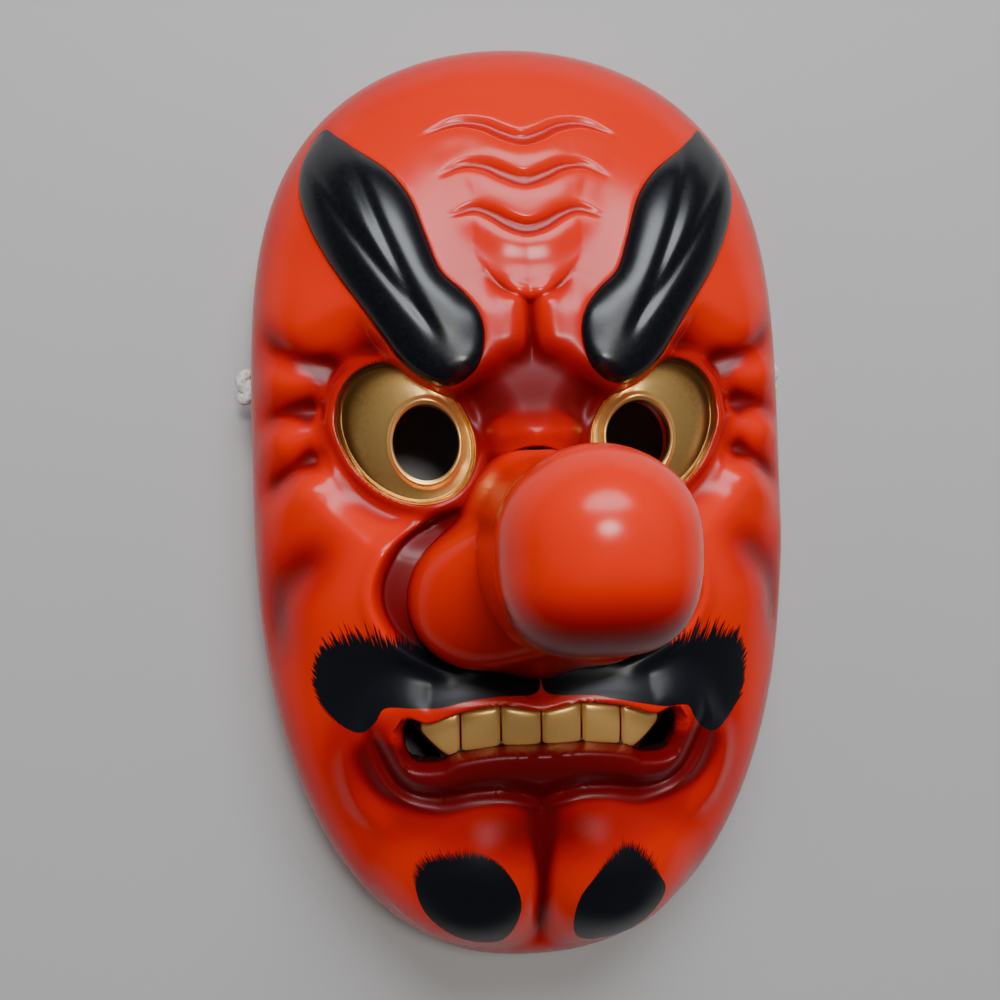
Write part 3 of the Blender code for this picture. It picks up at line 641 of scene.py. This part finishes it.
def cleaned(item, sharp=SMOOTH_ANGLE, merge=0.0):
    """Vertices closer than merge joined, faces turned outwards, and edges sharper than this kept."""
    form = bmesh.new()
    form.from_mesh(item.data)
    if merge:
        bmesh.ops.remove_doubles(form, verts=form.verts, dist=merge)
    bmesh.ops.recalc_face_normals(form, faces=form.faces)
    form.to_mesh(item.data)
    form.free()
    item.data.shade_smooth()
    item.data.set_sharp_from_angle(angle=sharp)
    return item


def cut(item, solids):
    """Cuts holes with closed meshes, and keeps the result as the piece's own mesh."""
    for solid in solids:
        hole = item.modifiers.new(solid.name, "BOOLEAN")
        hole.operation = "DIFFERENCE"
        hole.solver = "EXACT"
        hole.object = solid
    graph = bpy.context.evaluated_depsgraph_get()
    made = bpy.data.meshes.new_from_object(item.evaluated_get(graph))
    item.modifiers.clear()
    item.data = made
    for solid in solids:
        bpy.data.objects.remove(solid, do_unlink=True)
    return item


def cutter(low, high):
    """A closed cutter between two outlines of as many points."""
    count = len(low)
    mesh = bpy.data.meshes.new("cutter")
    faces = band(0, count, count) + [list(range(count))[::-1], list(range(count, 2 * count))]
    mesh.from_pydata(np.vstack([low, high]).tolist(), [], faces)
    return cleaned(placed("cutter", mesh))


def mark(item, **values):
    """Values with these names on the vertices, one number each or three."""
    for name, value in values.items():
        value = np.asarray(value, np.float32)
        kind, key = ("FLOAT_VECTOR", "vector") if value.ndim == 2 else ("FLOAT", "value")
        item.data.attributes.new(name, kind, "POINT").data.foreach_set(key, value.ravel())


# Materials


def added(tree, kind, output, inputs=(), **settings):
    """An output of a new node, whose settings are made before its inputs are linked or set."""
    node = tree.nodes.new(kind)
    for key, value in settings.items():
        setattr(node, key, value)
    for name, value in dict(inputs).items():
        plug(tree, node.inputs[name], value)
    return Socket(tree, node.outputs[output])


class Socket:
    """A shader value that takes part in Python arithmetic."""

    def __init__(self, tree, socket):
        self.tree = tree
        self.socket = socket

    def math(self, kind, *others):
        return added(self.tree, "ShaderNodeMath", 0, enumerate((self, *others)), operation=kind)

    def __add__(self, other):
        return self.math("ADD", other)

    __radd__ = __add__

    def __sub__(self, other):
        return self.math("SUBTRACT", other)

    def __rsub__(self, other):
        return (self * -1.0).math("ADD", other)

    def __mul__(self, other):
        return self.math("MULTIPLY", other)

    __rmul__ = __mul__

    def __truediv__(self, other):
        return self.math("DIVIDE", other)

    def smooth(self, low, high):
        """0 at low, 1 at high."""
        inputs = {"Value": self, "From Min": low, "From Max": high}
        return added(self.tree, "ShaderNodeMapRange", "Result", inputs, interpolation_type="SMOOTHSTEP")


def plug(tree, slot, value):
    """Links another node's value to a socket, or sets it to a number, a name or a colour."""
    if isinstance(value, Socket):
        tree.links.new(value.socket, slot)
    else:
        slot.default_value = (*value, 1.0) if isinstance(value, tuple) else value


class Paint:
    """A Principled material whose nodes are made by name."""

    def __init__(self, name, **settings):
        self.material = bpy.data.materials.new(name)
        self.material.use_nodes = True
        self.tree = self.material.node_tree
        self.shader = self.tree.nodes["Principled BSDF"]
        for key, value in settings.items():
            self.set(key.replace("_", " ").title(), value)

    def set(self, name, value):
        plug(self.tree, self.shader.inputs[name], value)

    def node(self, kind, output, inputs=(), **settings):
        return added(self.tree, kind, output, inputs, **settings)

    def read(self, name, output="Fac"):
        return self.node("ShaderNodeAttribute", output, attribute_name=name)

    def parts(self, vector):
        split = self.tree.nodes.new("ShaderNodeSeparateXYZ")
        plug(self.tree, split.inputs[0], vector)
        return [Socket(self.tree, out) for out in split.outputs]

    def mix(self, amount, a, b):
        """The colour a where amount is 0, b where it is 1."""
        return self.node("ShaderNodeMix", 2, {0: amount, 6: a, 7: b}, data_type="RGBA")

    def noise(self, scale, detail=2.0, vector=None, **inputs):
        inputs.update(Vector=vector or self.node("ShaderNodeTexCoord", "Object"), Scale=scale, Detail=detail)
        return self.node("ShaderNodeTexNoise", "Fac", inputs)

    def bump(self, height, distance, strength):
        inputs = {"Height": height, "Distance": distance, "Strength": strength}
        self.set("Normal", self.node("ShaderNodeBump", "Normal", inputs))


# the lacquer runs from ORANGE on the bulges through RED to CRIMSON in the hollows, airbrush and painted
# shade together; DARK is painted shade inside the mouth
ORANGE = (0.88, 0.022, 0.0012)
RED = (0.70, 0.0085, 0.0016)
CRIMSON = (0.17, 0.0028, 0.0045)
DARK = (0.020, 0.0012, 0.0018)
INK = (0.006, 0.007, 0.010)
GOLD = (0.95, 0.56, 0.17)
GOLD_BROWN = (0.62, 0.30, 0.07)
GOLD_DARK = (0.20, 0.08, 0.02)
BROW_BLACK = (0.0025, 0.003, 0.0045)
BROW_GRAIN = (0.005, 0.006, 0.009)
CORD_WHITE = (0.82, 0.80, 0.75)
CORD_SHADED = (0.60, 0.58, 0.54)
TABLE_GREY = (0.50, 0.49, 0.48)
HAIRS = 85.0
PLAITS_ALONG = 2600.0
PLAITS_AROUND = 25.13


def lacquer():
    """Glossy orange-red, darker in the hollows as airbrush and painted shade together, with the painted
    black patches.
    """
    paint = Paint("red_lacquer", roughness=0.26)
    paint.set("IOR", 1.36)
    mouth, channel, notch = paint.parts(paint.read("lines", "Vector"))
    cloud = paint.noise(22.0, 3.0)
    shade = paint.read("shade") + (cloud - 0.5) * 0.12
    # painted shade inside the wrinkles' channels and along the notch over the frown
    shade = shade + channel.smooth(-0.6, 0.5) * 0.25 + notch.smooth(-0.5, 0.4) * 0.22
    # orange on the bulges, then red and crimson where the airbrush and the painted shade gather
    tone = paint.mix(shade.smooth(0.0, 0.42), ORANGE, RED)
    tone = paint.mix(shade.smooth(0.20, 0.95), tone, CRIMSON)
    # painted shade: nearly black inside the mouth's opening, round the teeth
    tone = paint.mix(mouth.smooth(-0.2, 0.3), tone, DARK)
    edge, feather, angle = paint.parts(paint.read("ink", "Vector"))
    fibres = paint.node("ShaderNodeCombineXYZ", "Vector", {"X": angle * HAIRS, "Y": edge * 0.04})
    hair = paint.noise(1.0, 3.0, fibres, Roughness=0.6)
    reach = edge * -1.0 / feather
    inked = (hair - reach * 0.40).smooth(0.30, 0.37)
    inked = inked * edge.smooth(-9.0, -7.0)
    paint.set("Base Color", paint.mix(inked, tone, INK))
    dull = paint.read("dull") * 0.35
    paint.set("Roughness", inked * 0.12 + shade.smooth(0.2, 1.0) * 0.10 + dull + 0.22)
    return paint.material


def satin_black():
    """Black paint with a fine grain, smooth enough to mirror the window softly."""
    paint = Paint("brow_black", roughness=0.3)
    grain = paint.noise(900.0, 3.0)
    paint.set("Base Color", paint.mix(grain.smooth(0.35, 0.75), BROW_BLACK, BROW_GRAIN))
    paint.set("Roughness", grain * 0.08 + 0.25)
    return paint.material


def gold(name, metallic):
    """Metallic paint, browner where the shade gathers."""
    paint = Paint(name, roughness=0.3, metallic=metallic)
    shade = paint.read("shade")
    grain = paint.noise(700.0, 4.0)
    tone = paint.mix((grain * 0.6 + shade * 0.6).smooth(0.30, 0.95), GOLD, GOLD_BROWN)
    paint.set("Base Color", paint.mix(shade.smooth(0.3, 1.0), tone, GOLD_DARK))
    paint.set("Roughness", grain * 0.12 + 0.26)
    paint.bump(paint.noise(200.0, 3.0), 0.00006, 0.4)
    return paint.material


def cord_white():
    """Braided white cord: the plaits cross in the cord's own coordinates."""
    paint = Paint("white_cord", roughness=0.85)
    along, around, _ = paint.parts(paint.node("ShaderNodeUVMap", "UV", uv_map="UVMap"))
    left = (along * PLAITS_ALONG + around * PLAITS_AROUND).math("SINE")
    right = (along * PLAITS_ALONG - around * PLAITS_AROUND).math("SINE")
    plait = left.math("MAXIMUM", right)
    paint.set("Base Color", paint.mix(plait.smooth(-0.4, 0.8), CORD_SHADED, CORD_WHITE))
    paint.bump(plait, 0.0002, 0.35)
    return paint.material


# Where the lacquer is darker, airbrushed and with painted shade, and where it is black


def hollow_map():
    """How far the carving lies under its own softened form, on a plan grid of 1 mm."""
    u = np.arange(-HALF_WIDTH, HALF_WIDTH + 1.0)
    v = np.arange(-BELOW, ABOVE + 1.0)
    s, t = np.meshgrid(u, v)
    h = relief(s, t) * fade(s, t)
    wide = h
    for _ in range(HOLLOW_SPREAD):
        wide = np.pad(wide, 1, mode="edge")
        wide = (wide[:-2] + 2 * wide[1:-1] + wide[2:]) / 4
        wide = (wide[:, :-2] + 2 * wide[:, 1:-1] + wide[:, 2:]) / 4
    return u, v, wide - h


def sample(u_axis, v_axis, grid, u, v):
    """Bilinear reading of a plan grid."""
    x = np.clip(u - u_axis[0], 0, len(u_axis) - 1.001)
    y = np.clip(v - v_axis[0], 0, len(v_axis) - 1.001)
    i, j = x.astype(int), y.astype(int)
    x, y = x - i, y - j
    top = grid[j, i] * (1 - x) + grid[j, i + 1] * x
    return top * (1 - y) + (grid[j + 1, i] * (1 - x) + grid[j + 1, i + 1] * x) * y


def face_shade(u, v, hollows):
    """0 on the bulges to 1 and over in the creases: partly the airbrushed crimson, partly painted shade in
    the hollows, and painted shade along the silhouette.
    """
    s = np.abs(u)
    # painted shade over the airbrushed crimson: darker in the carving's hollows and creases, round the eyes,
    # the lips and the nostrils
    dark = 0.21 * np.clip(sample(*hollows, u, v), 0.0, 5.0)
    dark += 0.75 * spot(s / 22, (v - 31) / 12)
    dark += 0.75 * spot(u / 32, (v + 94) / 11)
    dark += 0.40 * spot((s - 53) / 11, (v + 75) / 18)
    lip = mouth_depth(u, v)
    dark += 0.75 * step(-17, -8, lip) * step(-66, -73, v) + 0.30 * step(-10, -3, lip)
    dark += 0.30 * spot(u / 42, (v - 40) / 42)
    dark += 0.55 * ridge(s, v, CHEEK_FOLD, 10.0, (0.0, 0.35), (1.0, 0.65))
    off, share = beside(s, v, spline(LIP_CREASE), reach=60.0)
    dark += 0.50 * np.where(off > 0, hill(off, 5.0), hill(off, 2.0)) * step(1.05, 0.8, share)
    dark += 0.22 * np.where(off < 0, hill(off + 3, 9.0), 0.0) * step(14, 34, s)
    dark += 0.30 * hill(u, 2.6) * step(-84, -90, v) * step(-141, -122, v)
    off, share = beside(s, v, spline(NOSTRIL_RING))
    dark += 0.80 * step(3.0, -3.0, off) * step(-22, -6, off) * step(0.0, 0.15, share)
    for points in CROW_CREASES:
        dark += 0.55 * ridge(s, v, points, 5.0, (0.0, 0.2), (1.1, 0.7))
    e = eye_share(s, v)
    dark += 0.50 * hill(e - 1.10, 0.25) * brow_clear(s, v)
    # painted shade: the silhouette is evenly darker, and the creases' shade fades out before it
    edge = edge_share(u, v)
    return dark * step(1.0, 0.88, edge) + 0.45 * step(0.86, 1.0, edge)


def face_lines(u, v):
    """Depth inside the mouth's opening and inside the nearest wrinkle, in millimetres."""
    inside = np.full(u.shape, OUTSIDE)
    for points in WRINKLES:
        off, pointed = wrinkle(u, v, points)
        inside = np.maximum(inside, 0.5 * WRINKLE_WIDTH * pointed - 0.1 - np.abs(off))
    off, share = beside(np.abs(u), v, spline(FROWN_NOTCH))
    notch = 0.6 * step(1.05, 0.5, share) - np.abs(off)
    return np.stack([mouth_depth(u, v), inside, notch], -1)


def face_ink(u, v):
    """Depth inside the black patches, how ragged their edge is, and the hairs' direction."""
    s, left = np.abs(u), u < 0

    def patch(*outlines):
        return np.where(left, *(within(s, v, x) for x in outlines))

    lip, chin = patch(MOUSTACHE_LEFT, MOUSTACHE_RIGHT), patch(CHIN_LEFT, CHIN_RIGHT)
    lip_turn = np.arctan2(s - 32.0, v + 88.0)
    chin_turn = np.arctan2(s - 22.0, v + 120.0)
    lip_rag = 0.25 + 10.0 * step(24, 46, s) * step(-56, -44, v) * step(66, 54, s)
    lip_rag += 2.2 * step(52, 62, s) * step(-66, -60, v)
    chin_rag = 0.25 + 5.0 * step(-113, -103, v) * step(6, 26, s)
    first = lip > chin
    turn = np.where(first, lip_turn, chin_turn) + np.where(left, 7.0, 0.0)
    return np.stack([np.maximum(lip, chin), np.where(first, lip_rag, chin_rag), turn], -1)


# The pieces


def pupil_outline(side, grow, count=64):
    """The pupil's ellipse in plan, in metres, grown by this much."""
    turn = full_turn(count)
    middle = to_metres([side * PUPIL[0], PUPIL[1], 0.0])[:2]
    return middle + np.column_stack([
        (0.5 * PUPIL_WIDTH + grow) * np.cos(turn), (0.5 * PUPIL_HEIGHT + grow) * np.sin(turn),
    ])


def face_cutters():
    """Closed cutters for the pupils, the mouth's corners and the cord's holes."""
    cutters = []
    turn = full_turn(32)
    radius = 0.5 * CORD_DIAMETER + CORD_HOLE_CLEARANCE
    x, y = wall_at_cord()
    for sign in (-1, 1):
        corner = spline(MOUTH_CORNER, closed=True) * (sign, 1)
        corner = to_metres(np.column_stack([corner, 0 * corner[:, 0]]))[:, :2]
        for outline in (pupil_outline(sign, 0.0004), corner):
            flat = np.column_stack([outline, 0 * outline[:, 0]])
            cutters.append(cutter(*(flat + (0, 0, share * FACE_DEPTH) for share in (0.4, 1.4))))
        circle = np.column_stack([0 * turn, radius * np.cos(turn), radius * np.sin(turn)])
        ends = [circle + (sign * (x + far), y, CORD_HOLE_HEIGHT) for far in (-3 * WALL, 2 * WALL)]
        cutters.append(cutter(*ends))
    return cutters


def face(material, hollows):
    """The face from the foot of the nose to the silhouette, its side wall, rim and back.

    Its points are the dome's, raised by the relief along the dome's normals, on rings that run
    from the nose's foot to the silhouette.
    """
    around = full_turn(AROUND)
    angles = around + 0.12 * np.sin(2 * around)
    inner = foot_curve(angles) - 1000 * FACE_TUCKED
    r = inner + (edge_distance(angles) - inner) * ring_shares(FACE_RINGS)[:, None]
    u, v = r * np.cos(angles), r * np.sin(angles)
    brow_inside = within(np.abs(u), v, BROW_OUTLINE)
    h = (relief(u, v) - BROW_SEAT * step(-0.2, 1.2, brow_inside)) * fade(u, v)
    front = lifted(u, v, h)
    edge = front[-1]
    out = np.stack([np.cos(angles), np.sin(angles), 0 * angles], -1)
    drop = np.linspace(0.0, 1.0, WALL_RINGS)[1:, None]
    plumb = edge * np.stack([1 + 0 * drop, 1 + 0 * drop, 1 - drop], -1)
    side = plumb - out * WALL_LEAN * drop[..., None] ** 2
    # the back is softer and coarser: fewer points round it, and fewer rings
    few = AROUND // BACK_AROUND
    coarse = (slice(None, None, BACK_EVERY), slice(None, None, few))
    soft = soften(lowest_near(h[coarse], BACK_REACH), BACK_SOFTENING)
    back = offset(lifted(u[coarse], v[coarse], soft), -WALL)
    rows = np.round(np.linspace(0, len(back) - 1, BACK_RINGS)).astype(int)[:-1]
    back_side = (side - out * WALL)[::-2, ::few]
    back_edge = (edge - out * WALL - (0, 0, 0.75 * WALL))[None, ::few]
    lining = np.concatenate([back_side, back_edge, back[rows][::-1]])
    skin = np.concatenate([front, side])
    start = skin.shape[0] * AROUND
    points = np.vstack([skin.reshape(-1, 3), lining.reshape(-1, 3)])
    faces = quads(len(skin), AROUND) + quads(len(lining), BACK_AROUND, start)
    faces += joined(start - AROUND, start, few) + joined(0, len(points) - BACK_AROUND, few)
    item = cleaned(add_mesh("face", points, faces, material))
    # the cuts renumber the vertices, so the lining's are marked before them
    mark(item, lining=np.arange(len(points)) >= start)
    item = cut(item, face_cutters())
    item.data.set_sharp_from_angle(angle=SMOOTH_ANGLE)
    place, behind = (np.empty(n * len(item.data.vertices), np.float32) for n in (3, 1))
    item.data.vertices.foreach_get("co", place)
    item.data.attributes["lining"].data.foreach_get("value", behind)
    u, v = to_pattern(place.reshape(-1, 3).astype(float))
    behind = behind > 0.5
    ink = face_ink(u, v)
    ink[:, 0] = np.where(behind, OUTSIDE, ink[:, 0])
    shade = np.where(behind, LINING_SHADE, face_shade(u, v, hollows))
    lines = np.where(behind[:, None], OUTSIDE, face_lines(u, v))
    mark(item, shade=shade, dull=spot(u / 17, (v - 30) / 9), ink=ink, lines=lines)
    return item


def joined(fine, coarse, few):
    """Faces from a ring to one with fewer points."""
    k = np.arange(BACK_AROUND)
    after = (k + 1) % BACK_AROUND
    cells = [fine + (few * k + n) % AROUND for n in range(few + 1)]
    return np.stack([*cells, coarse + after, coarse + k], -1).tolist()


def nose(material):
    """The nose's skin from inside the face to its tip, and its hollow lining.

    Each point stands at nose_distance from the nose's axis, for its turn and its height.
    """
    turns = full_turn(NOSE_AROUND)
    x, y = nose_skin(turns, NOSE_FOOT)
    foot = dome(x, y) + relief(x, y) - 1000 * NOSE_SUNK
    share = np.linspace(0.0, 1.0, NOSE_RINGS)[:, None]
    wings = foot + (WING_TOP - foot) * share
    shaft = WING_TOP + (NOSE_END - WING_TOP) * share[1:] + 0 * foot
    bend = np.linspace(0.0, 0.5 * np.pi, NOSE_RINGS + 1)[1:-1, None]
    end = NOSE_END + (NOSE_TOP - NOSE_END) * np.sin(bend) ** (2 / TIP_ROUNDNESS) + 0 * foot
    z = np.vstack([wings, shaft, end])
    x, y = nose_skin(turns, z)
    skin = to_metres(np.stack([x, y, z], -1))
    tip = to_metres([0.0, nose_sizes(NOSE_TOP)[0], NOSE_TOP])
    rows = np.round(np.linspace(0, len(skin) - 1, NOSE_LINING_RINGS)).astype(int)
    lining = offset(skin, -WALL)[rows]
    count = NOSE_AROUND
    points = np.vstack([skin.reshape(-1, 3), lining.reshape(-1, 3), tip, tip - (0, 0, WALL)])
    start = len(skin) * count
    pole = len(points) - 2
    faces = quads(len(skin), count) + quads(len(lining), count, start) + band(0, start, count)
    faces += fan(start - count, pole, count) + fan(pole - count, pole + 1, count)
    item = cleaned(add_mesh("nose", points, faces, material))
    # painted shade: darker at the foot, under the shaft's lower part, and under the tip
    lower = nose_sizes(z)[0] - y
    shade = 0.75 * hill(z - 58.0, 7.0) + 0.30 * step(110, 70, z) * (0.5 - 0.5 * np.cos(turns))
    shade += 0.95 * step(2.0, 21.0, lower) * step(105, 160, z)
    shade = np.append(shade.ravel(), np.full(len(points) - start, LINING_SHADE))
    shade[pole:] = 0.0
    ink = np.tile([OUTSIDE, 1.0, 0.0], (len(points), 1))
    mark(item, shade=shade, dull=0 * shade, ink=ink, lines=np.full(ink.shape, OUTSIDE))
    return item


def side_name(piece, side):
    """A piece's name with its side, as someone sees it who looks at the face."""
    return f"{piece}_{'right' if side > 0 else 'left'}"


def brow(side, material):
    """One raised eyebrow: rows across it from its tip to its foot, and a flat underside.

    Each row runs straight from the outline's outer half to its inner half.
    """
    outline = spline(BROW_OUTLINE, closed=True, each=BROW_STEPS)
    foot = BROW_FOOT * BROW_STEPS
    outer, inner = outline[:foot + 1], np.vstack([outline[foot:], outline[:1]])[::-1]
    rows = 0.5 - 0.5 * np.cos(np.linspace(0.0, np.pi, BROW_ROWS))
    across = (0.5 - 0.5 * np.cos(np.linspace(0.0, np.pi, BROW_COLUMNS)))[:, None]
    (s0, v0), (s1, v1) = points_along(outer, rows).T, points_along(inner, rows).T
    s, v = s0 + (s1 - s0) * across, v0 + (v1 - v0) * across
    u = side * s
    under = relief(u, v)
    top = lifted(u, v, (under + carve_brow(s, v)) * fade(u, v))
    low = lifted(u, v, (under - BROW_SUNK) * fade(u, v))
    points = np.vstack([top.reshape(-1, 3), low.reshape(-1, 3)])
    item = add_mesh(side_name("brow", side), points, slab(*s.shape), material)
    return cleaned(item, BROW_SMOOTH_ANGLE, merge=1e-6)


def eye(side, material):
    """One gold eye: a lipped ring round the pupil, spreading to the lid, lined through the wall.

    Each ring is a share of the way from the pupil's outline to the lid's.
    """
    turn = full_turn(EYE_AROUND)
    hole_u, hole_v = to_pattern(pupil_outline(1, 0.0, EYE_AROUND))
    # where rays from the pupil's middle meet the lid's ellipse
    rays = eye_frame(np.cos(turn), np.sin(turn)) / EYE_MARGIN
    away = eye_frame(PUPIL[0] - EYE[0], PUPIL[1] - EYE[1]) / EYE_MARGIN
    p, q = (rays * away).sum(1), (rays**2).sum(1)
    reach = (-p + np.sqrt(p**2 - q * ((away**2).sum() - 1.0))) / q
    share = np.linspace(0.0, 1.0, EYE_RINGS)[:, None] ** 1.15
    s = hole_u + (PUPIL[0] + np.cos(turn) * reach - hole_u) * share
    v = hole_v + (PUPIL[1] + np.sin(turn) * reach - hole_v) * share
    base = relief(side * s, v, clear=1.0)
    top = lifted(side * s, v, base + carve_eye(s, v))
    skirt = lifted(side * s[-1:], v[-1:], base[-1:] - EYE_SUNK)
    lining = np.stack([top[0] - (0, 0, 1.5 * WALL * t) for t in np.linspace(1.0, 0.08, EYE_TUBE_RINGS)])
    k = EYE_BACK_RING
    far = lifted(side * s[k:k + 1], v[k:k + 1], base[k:k + 1] - EYE_BACK)
    rings = np.concatenate([lining, top, skirt, far])
    faces = quads(len(rings), EYE_AROUND) + band((len(rings) - 1) * EYE_AROUND, 0, EYE_AROUND)
    item = add_mesh(side_name("eye", side), rings.reshape(-1, 3), faces, material)
    # painted shade: the tube darkens deeper in, and the gold browns towards the lid and away from the pupil
    painted_far_shade = step(12, 27, np.hypot(s - PUPIL[0], (v - PUPIL[1]) * 0.9))
    shade = np.zeros(rings.shape[:2])
    shade[:len(lining)] = np.linspace(1.0, 0.3, len(lining))[:, None]
    shade[len(lining):len(lining) + len(top)] = 0.45 * step(0.74, 1.04, eye_share(s, v)) + 0.75 * painted_far_shade
    mark(item, shade=shade.ravel())
    return cleaned(item)


def teeth(material):
    """Six upper teeth: each a rounded block, level inside and falling off at its four sides."""
    top_line, low_line = spline(TEETH_TOP), spline(TEETH_BOTTOM)
    a, b = np.sin(0.5 * np.pi * np.stack(np.meshgrid(*(np.linspace(-1.0, 1.0, n) for n in TOOTH_GRID))))
    block = np.maximum(1 - np.abs(a) ** 14, 0) ** 0.5 * np.maximum(1 - np.abs(b) ** 12, 0) ** 0.5
    level = TOOTH_BORDER + (1.9 + 0.5 * (1 - a**2) + 0.6 * (1 - b**2)) * block
    # painted shade: darker in the gaps between the teeth and at their top and bottom edges
    dark = 0.60 * (1 - step(0.0, 0.35, block)) + 0.12 * step(0.5, 1.0, np.abs(b))
    points, faces = [], []
    for index in range(TEETH):
        middle = (index + 0.5 - TEETH / 2) * TOOTH_WIDTH
        u = middle + 0.5 * (TOOTH_WIDTH - TOOTH_GAP) * a
        high = np.interp(np.abs(u), top_line[:, 0], top_line[:, 1]) + 0.5
        low = np.interp(np.abs(u), low_line[:, 0], low_line[:, 1]) - 0.5
        v = low + (high - low) * (0.5 + 0.5 * b)
        faces += slab(*a.shape, first=index * 2 * a.size)
        points += [lifted(u, v, level), lifted(u, v, TEETH_BACK + 0 * u)]
    item = add_mesh("teeth", np.reshape(points, (-1, 3)), faces, material)
    # the teeth's hidden backs carry full painted shade
    mark(item, shade=np.tile([dark.ravel(), np.ones(a.size)], (TEETH, 1)).ravel())
    return cleaned(item)


# The cord


def wall_at_cord():
    """How far the side wall stands from the middle, where the cord goes through it."""
    angle = np.arctan2(CORD_ROW, HALF_WIDTH)
    edge = to_metres([edge_distance(angle) * np.cos(angle), CORD_ROW, WIDEST])
    return edge[0] - WALL_LEAN * (1 - CORD_HOLE_HEIGHT / edge[2]) ** 2, edge[1]


def add_tube(name, path, radius, material, closed=False):
    """Rings of points round a path, at right angles to it, with the distances along and around as UV."""
    run = np.roll(path, -1, 0) - np.roll(path, 1, 0) if closed else np.gradient(path, axis=0)
    run /= np.linalg.norm(run, axis=1, keepdims=True)
    side = np.cross(run, (0.31, 0.17, 0.94) if closed else (0.0, 0.0, 1.0))
    side /= np.linalg.norm(side, axis=1, keepdims=True)
    other = np.cross(side, run)
    count, rows = CORD_AROUND, len(path)
    turn = full_turn(count)[:, None]
    rings = path[:, None] + radius * (np.cos(turn) * side[:, None] + np.sin(turn) * other[:, None])
    points = rings.reshape(-1, 3)
    faces = quads(rows, count)
    if closed:
        faces += band((rows - 1) * count, 0, count)
    else:
        points = np.vstack([points, path[0], path[-1]])
        faces += fan(0, rows * count, count) + fan((rows - 1) * count, rows * count + 1, count)
    item = add_mesh(name, points, faces, material)
    corner = np.concatenate(faces)
    along = distances(path)[np.minimum(corner // count, rows - 1)]
    # the last column of faces runs on to 1 instead of back to 0
    column = np.repeat(np.arange(len(faces)) % count, [len(f) for f in faces])
    around = corner % count / count + (corner % count < column)
    uv = item.data.uv_layers.new(name="UVMap")
    uv.data.foreach_set("uv", np.stack([along, around], -1).ravel())
    return cleaned(item)


def cord_path():
    """The cord's middle line, in even steps, and its length."""
    route = np.array(CORD_ROUTE)
    lying = 0.5 * CORD_DIAMETER + GAP
    points = to_metres(route * (1, 1, 0))
    points[:, 2] = lying + (CORD_HOLE_HEIGHT - lying) * route[:, 2]
    points[[0, -1], 0] = (-wall_at_cord()[0], wall_at_cord()[0])
    fine = spline(points, each=30)
    length = distances(fine)[-1]
    shares = np.linspace(0.0, 1.0, int(length / (0.4 * CORD_DIAMETER)))
    return points_along(fine, shares), length


def knot(side, material):
    """A stopper knot: the cord in three tight turns, along a trefoil."""
    x, y = wall_at_cord()
    middle = np.array([side * (x + 2 * GAP + 0.5 * KNOT_DEPTH), y, CORD_HOLE_HEIGHT])
    t = full_turn(KNOT_STEPS)
    turns = [-np.sin(3 * t), (np.sin(t) + 2 * np.sin(2 * t)) / 2.6, (np.cos(t) - 2 * np.cos(2 * t)) / 3.0]
    room = 0.5 * (np.array([KNOT_DEPTH, 0.97 * KNOT_LENGTH, 0.94 * KNOT_HEIGHT]) - KNOT_STRAND)
    path = middle + np.stack(turns, -1) * room * (side, 1, 1)
    return add_tube(side_name("knot", side), path, 0.5 * KNOT_STRAND, material, closed=True)


def cords():
    """The head cord from hole to hole, and its two knots."""
    material = cord_white()
    path, length = cord_path()
    line = add_tube("cord", path, 0.5 * CORD_DIAMETER, material)
    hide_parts("head_cord")
    for side, node in ((-1, "cord_knot_left"), (1, "cord_knot_right")):
        piece = knot(side, material)
        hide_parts(node)


# The camera, the table and the light


def camera():
    """The camera looks from its place to its target, turned about that line."""
    place, target = np.array(CAMERA_PLACE), np.array(CAMERA_TARGET)
    ahead = (target - place) / np.linalg.norm(target - place)
    right = np.cross(ahead, (0.0, 1.0, 0.0))
    right /= np.linalg.norm(right)
    up = np.cross(right, ahead)
    c, s = np.cos(CAMERA_ROLL), np.sin(CAMERA_ROLL)
    turned = np.column_stack([c * right - s * up, s * right + c * up, -ahead])
    lens = bpy.data.cameras.new("camera")
    lens.lens = CAMERA_LENS
    lens.sensor_width = CAMERA_SENSOR
    lens.clip_start = 0.01
    item = placed("camera", lens)
    item.matrix_world = Matrix.Translation(Vector(place)) @ Matrix(turned.tolist()).to_4x4()
    bpy.context.scene.camera = item


def table():
    """A plain pale floor."""
    half = 3.0
    mesh = bpy.data.meshes.new("table")
    corners = [(-half, -half, 0.0), (half, -half, 0.0), (half, half, 0.0), (-half, half, 0.0)]
    mesh.from_pydata(corners, [], [(0, 1, 2, 3)])
    mesh.materials.append(Paint("table", base_color=TABLE_GREY, roughness=0.6).material)
    item = placed("table", mesh)


def light():
    """A window beyond the forehead, a light over the mask, and two dim fills at its sides, all oval."""
    world = bpy.data.worlds.new("room")
    bpy.context.scene.world = world
    world.use_nodes = True
    sky = world.node_tree.nodes["Background"].inputs
    for name, value in (("Color", SKY), ("Strength", SKY_STRENGTH)):
        plug(world.node_tree, sky[name], value)
    for name, place, aim, size, power, color, mirrored in LAMPS:
        lamp = bpy.data.lights.new(name, "AREA")
        lamp.shape = "ELLIPSE"
        lamp.size, lamp.size_y = size
        lamp.energy = power
        lamp.color = color
        item = placed(name, lamp)
        item.location = place
        item.rotation_euler = (Vector((0.0, 0.0, aim)) - Vector(place)).to_track_quat("-Z", "Y").to_euler()
        item.visible_glossy = mirrored


camera()
cords()
hollows = hollow_map()
red = lacquer()
mask = [face(red, hollows), nose(red)]
black, eye_gold, tooth_gold = satin_black(), gold("eye_gold", 0.85), gold("tooth_gold", 0.6)
for side in (-1, 1):
    mask += [brow(side, black), eye(side, eye_gold)]
mask.append(teeth(tooth_gold))
for piece in mask:
    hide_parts("mask_shell")
table()
light()
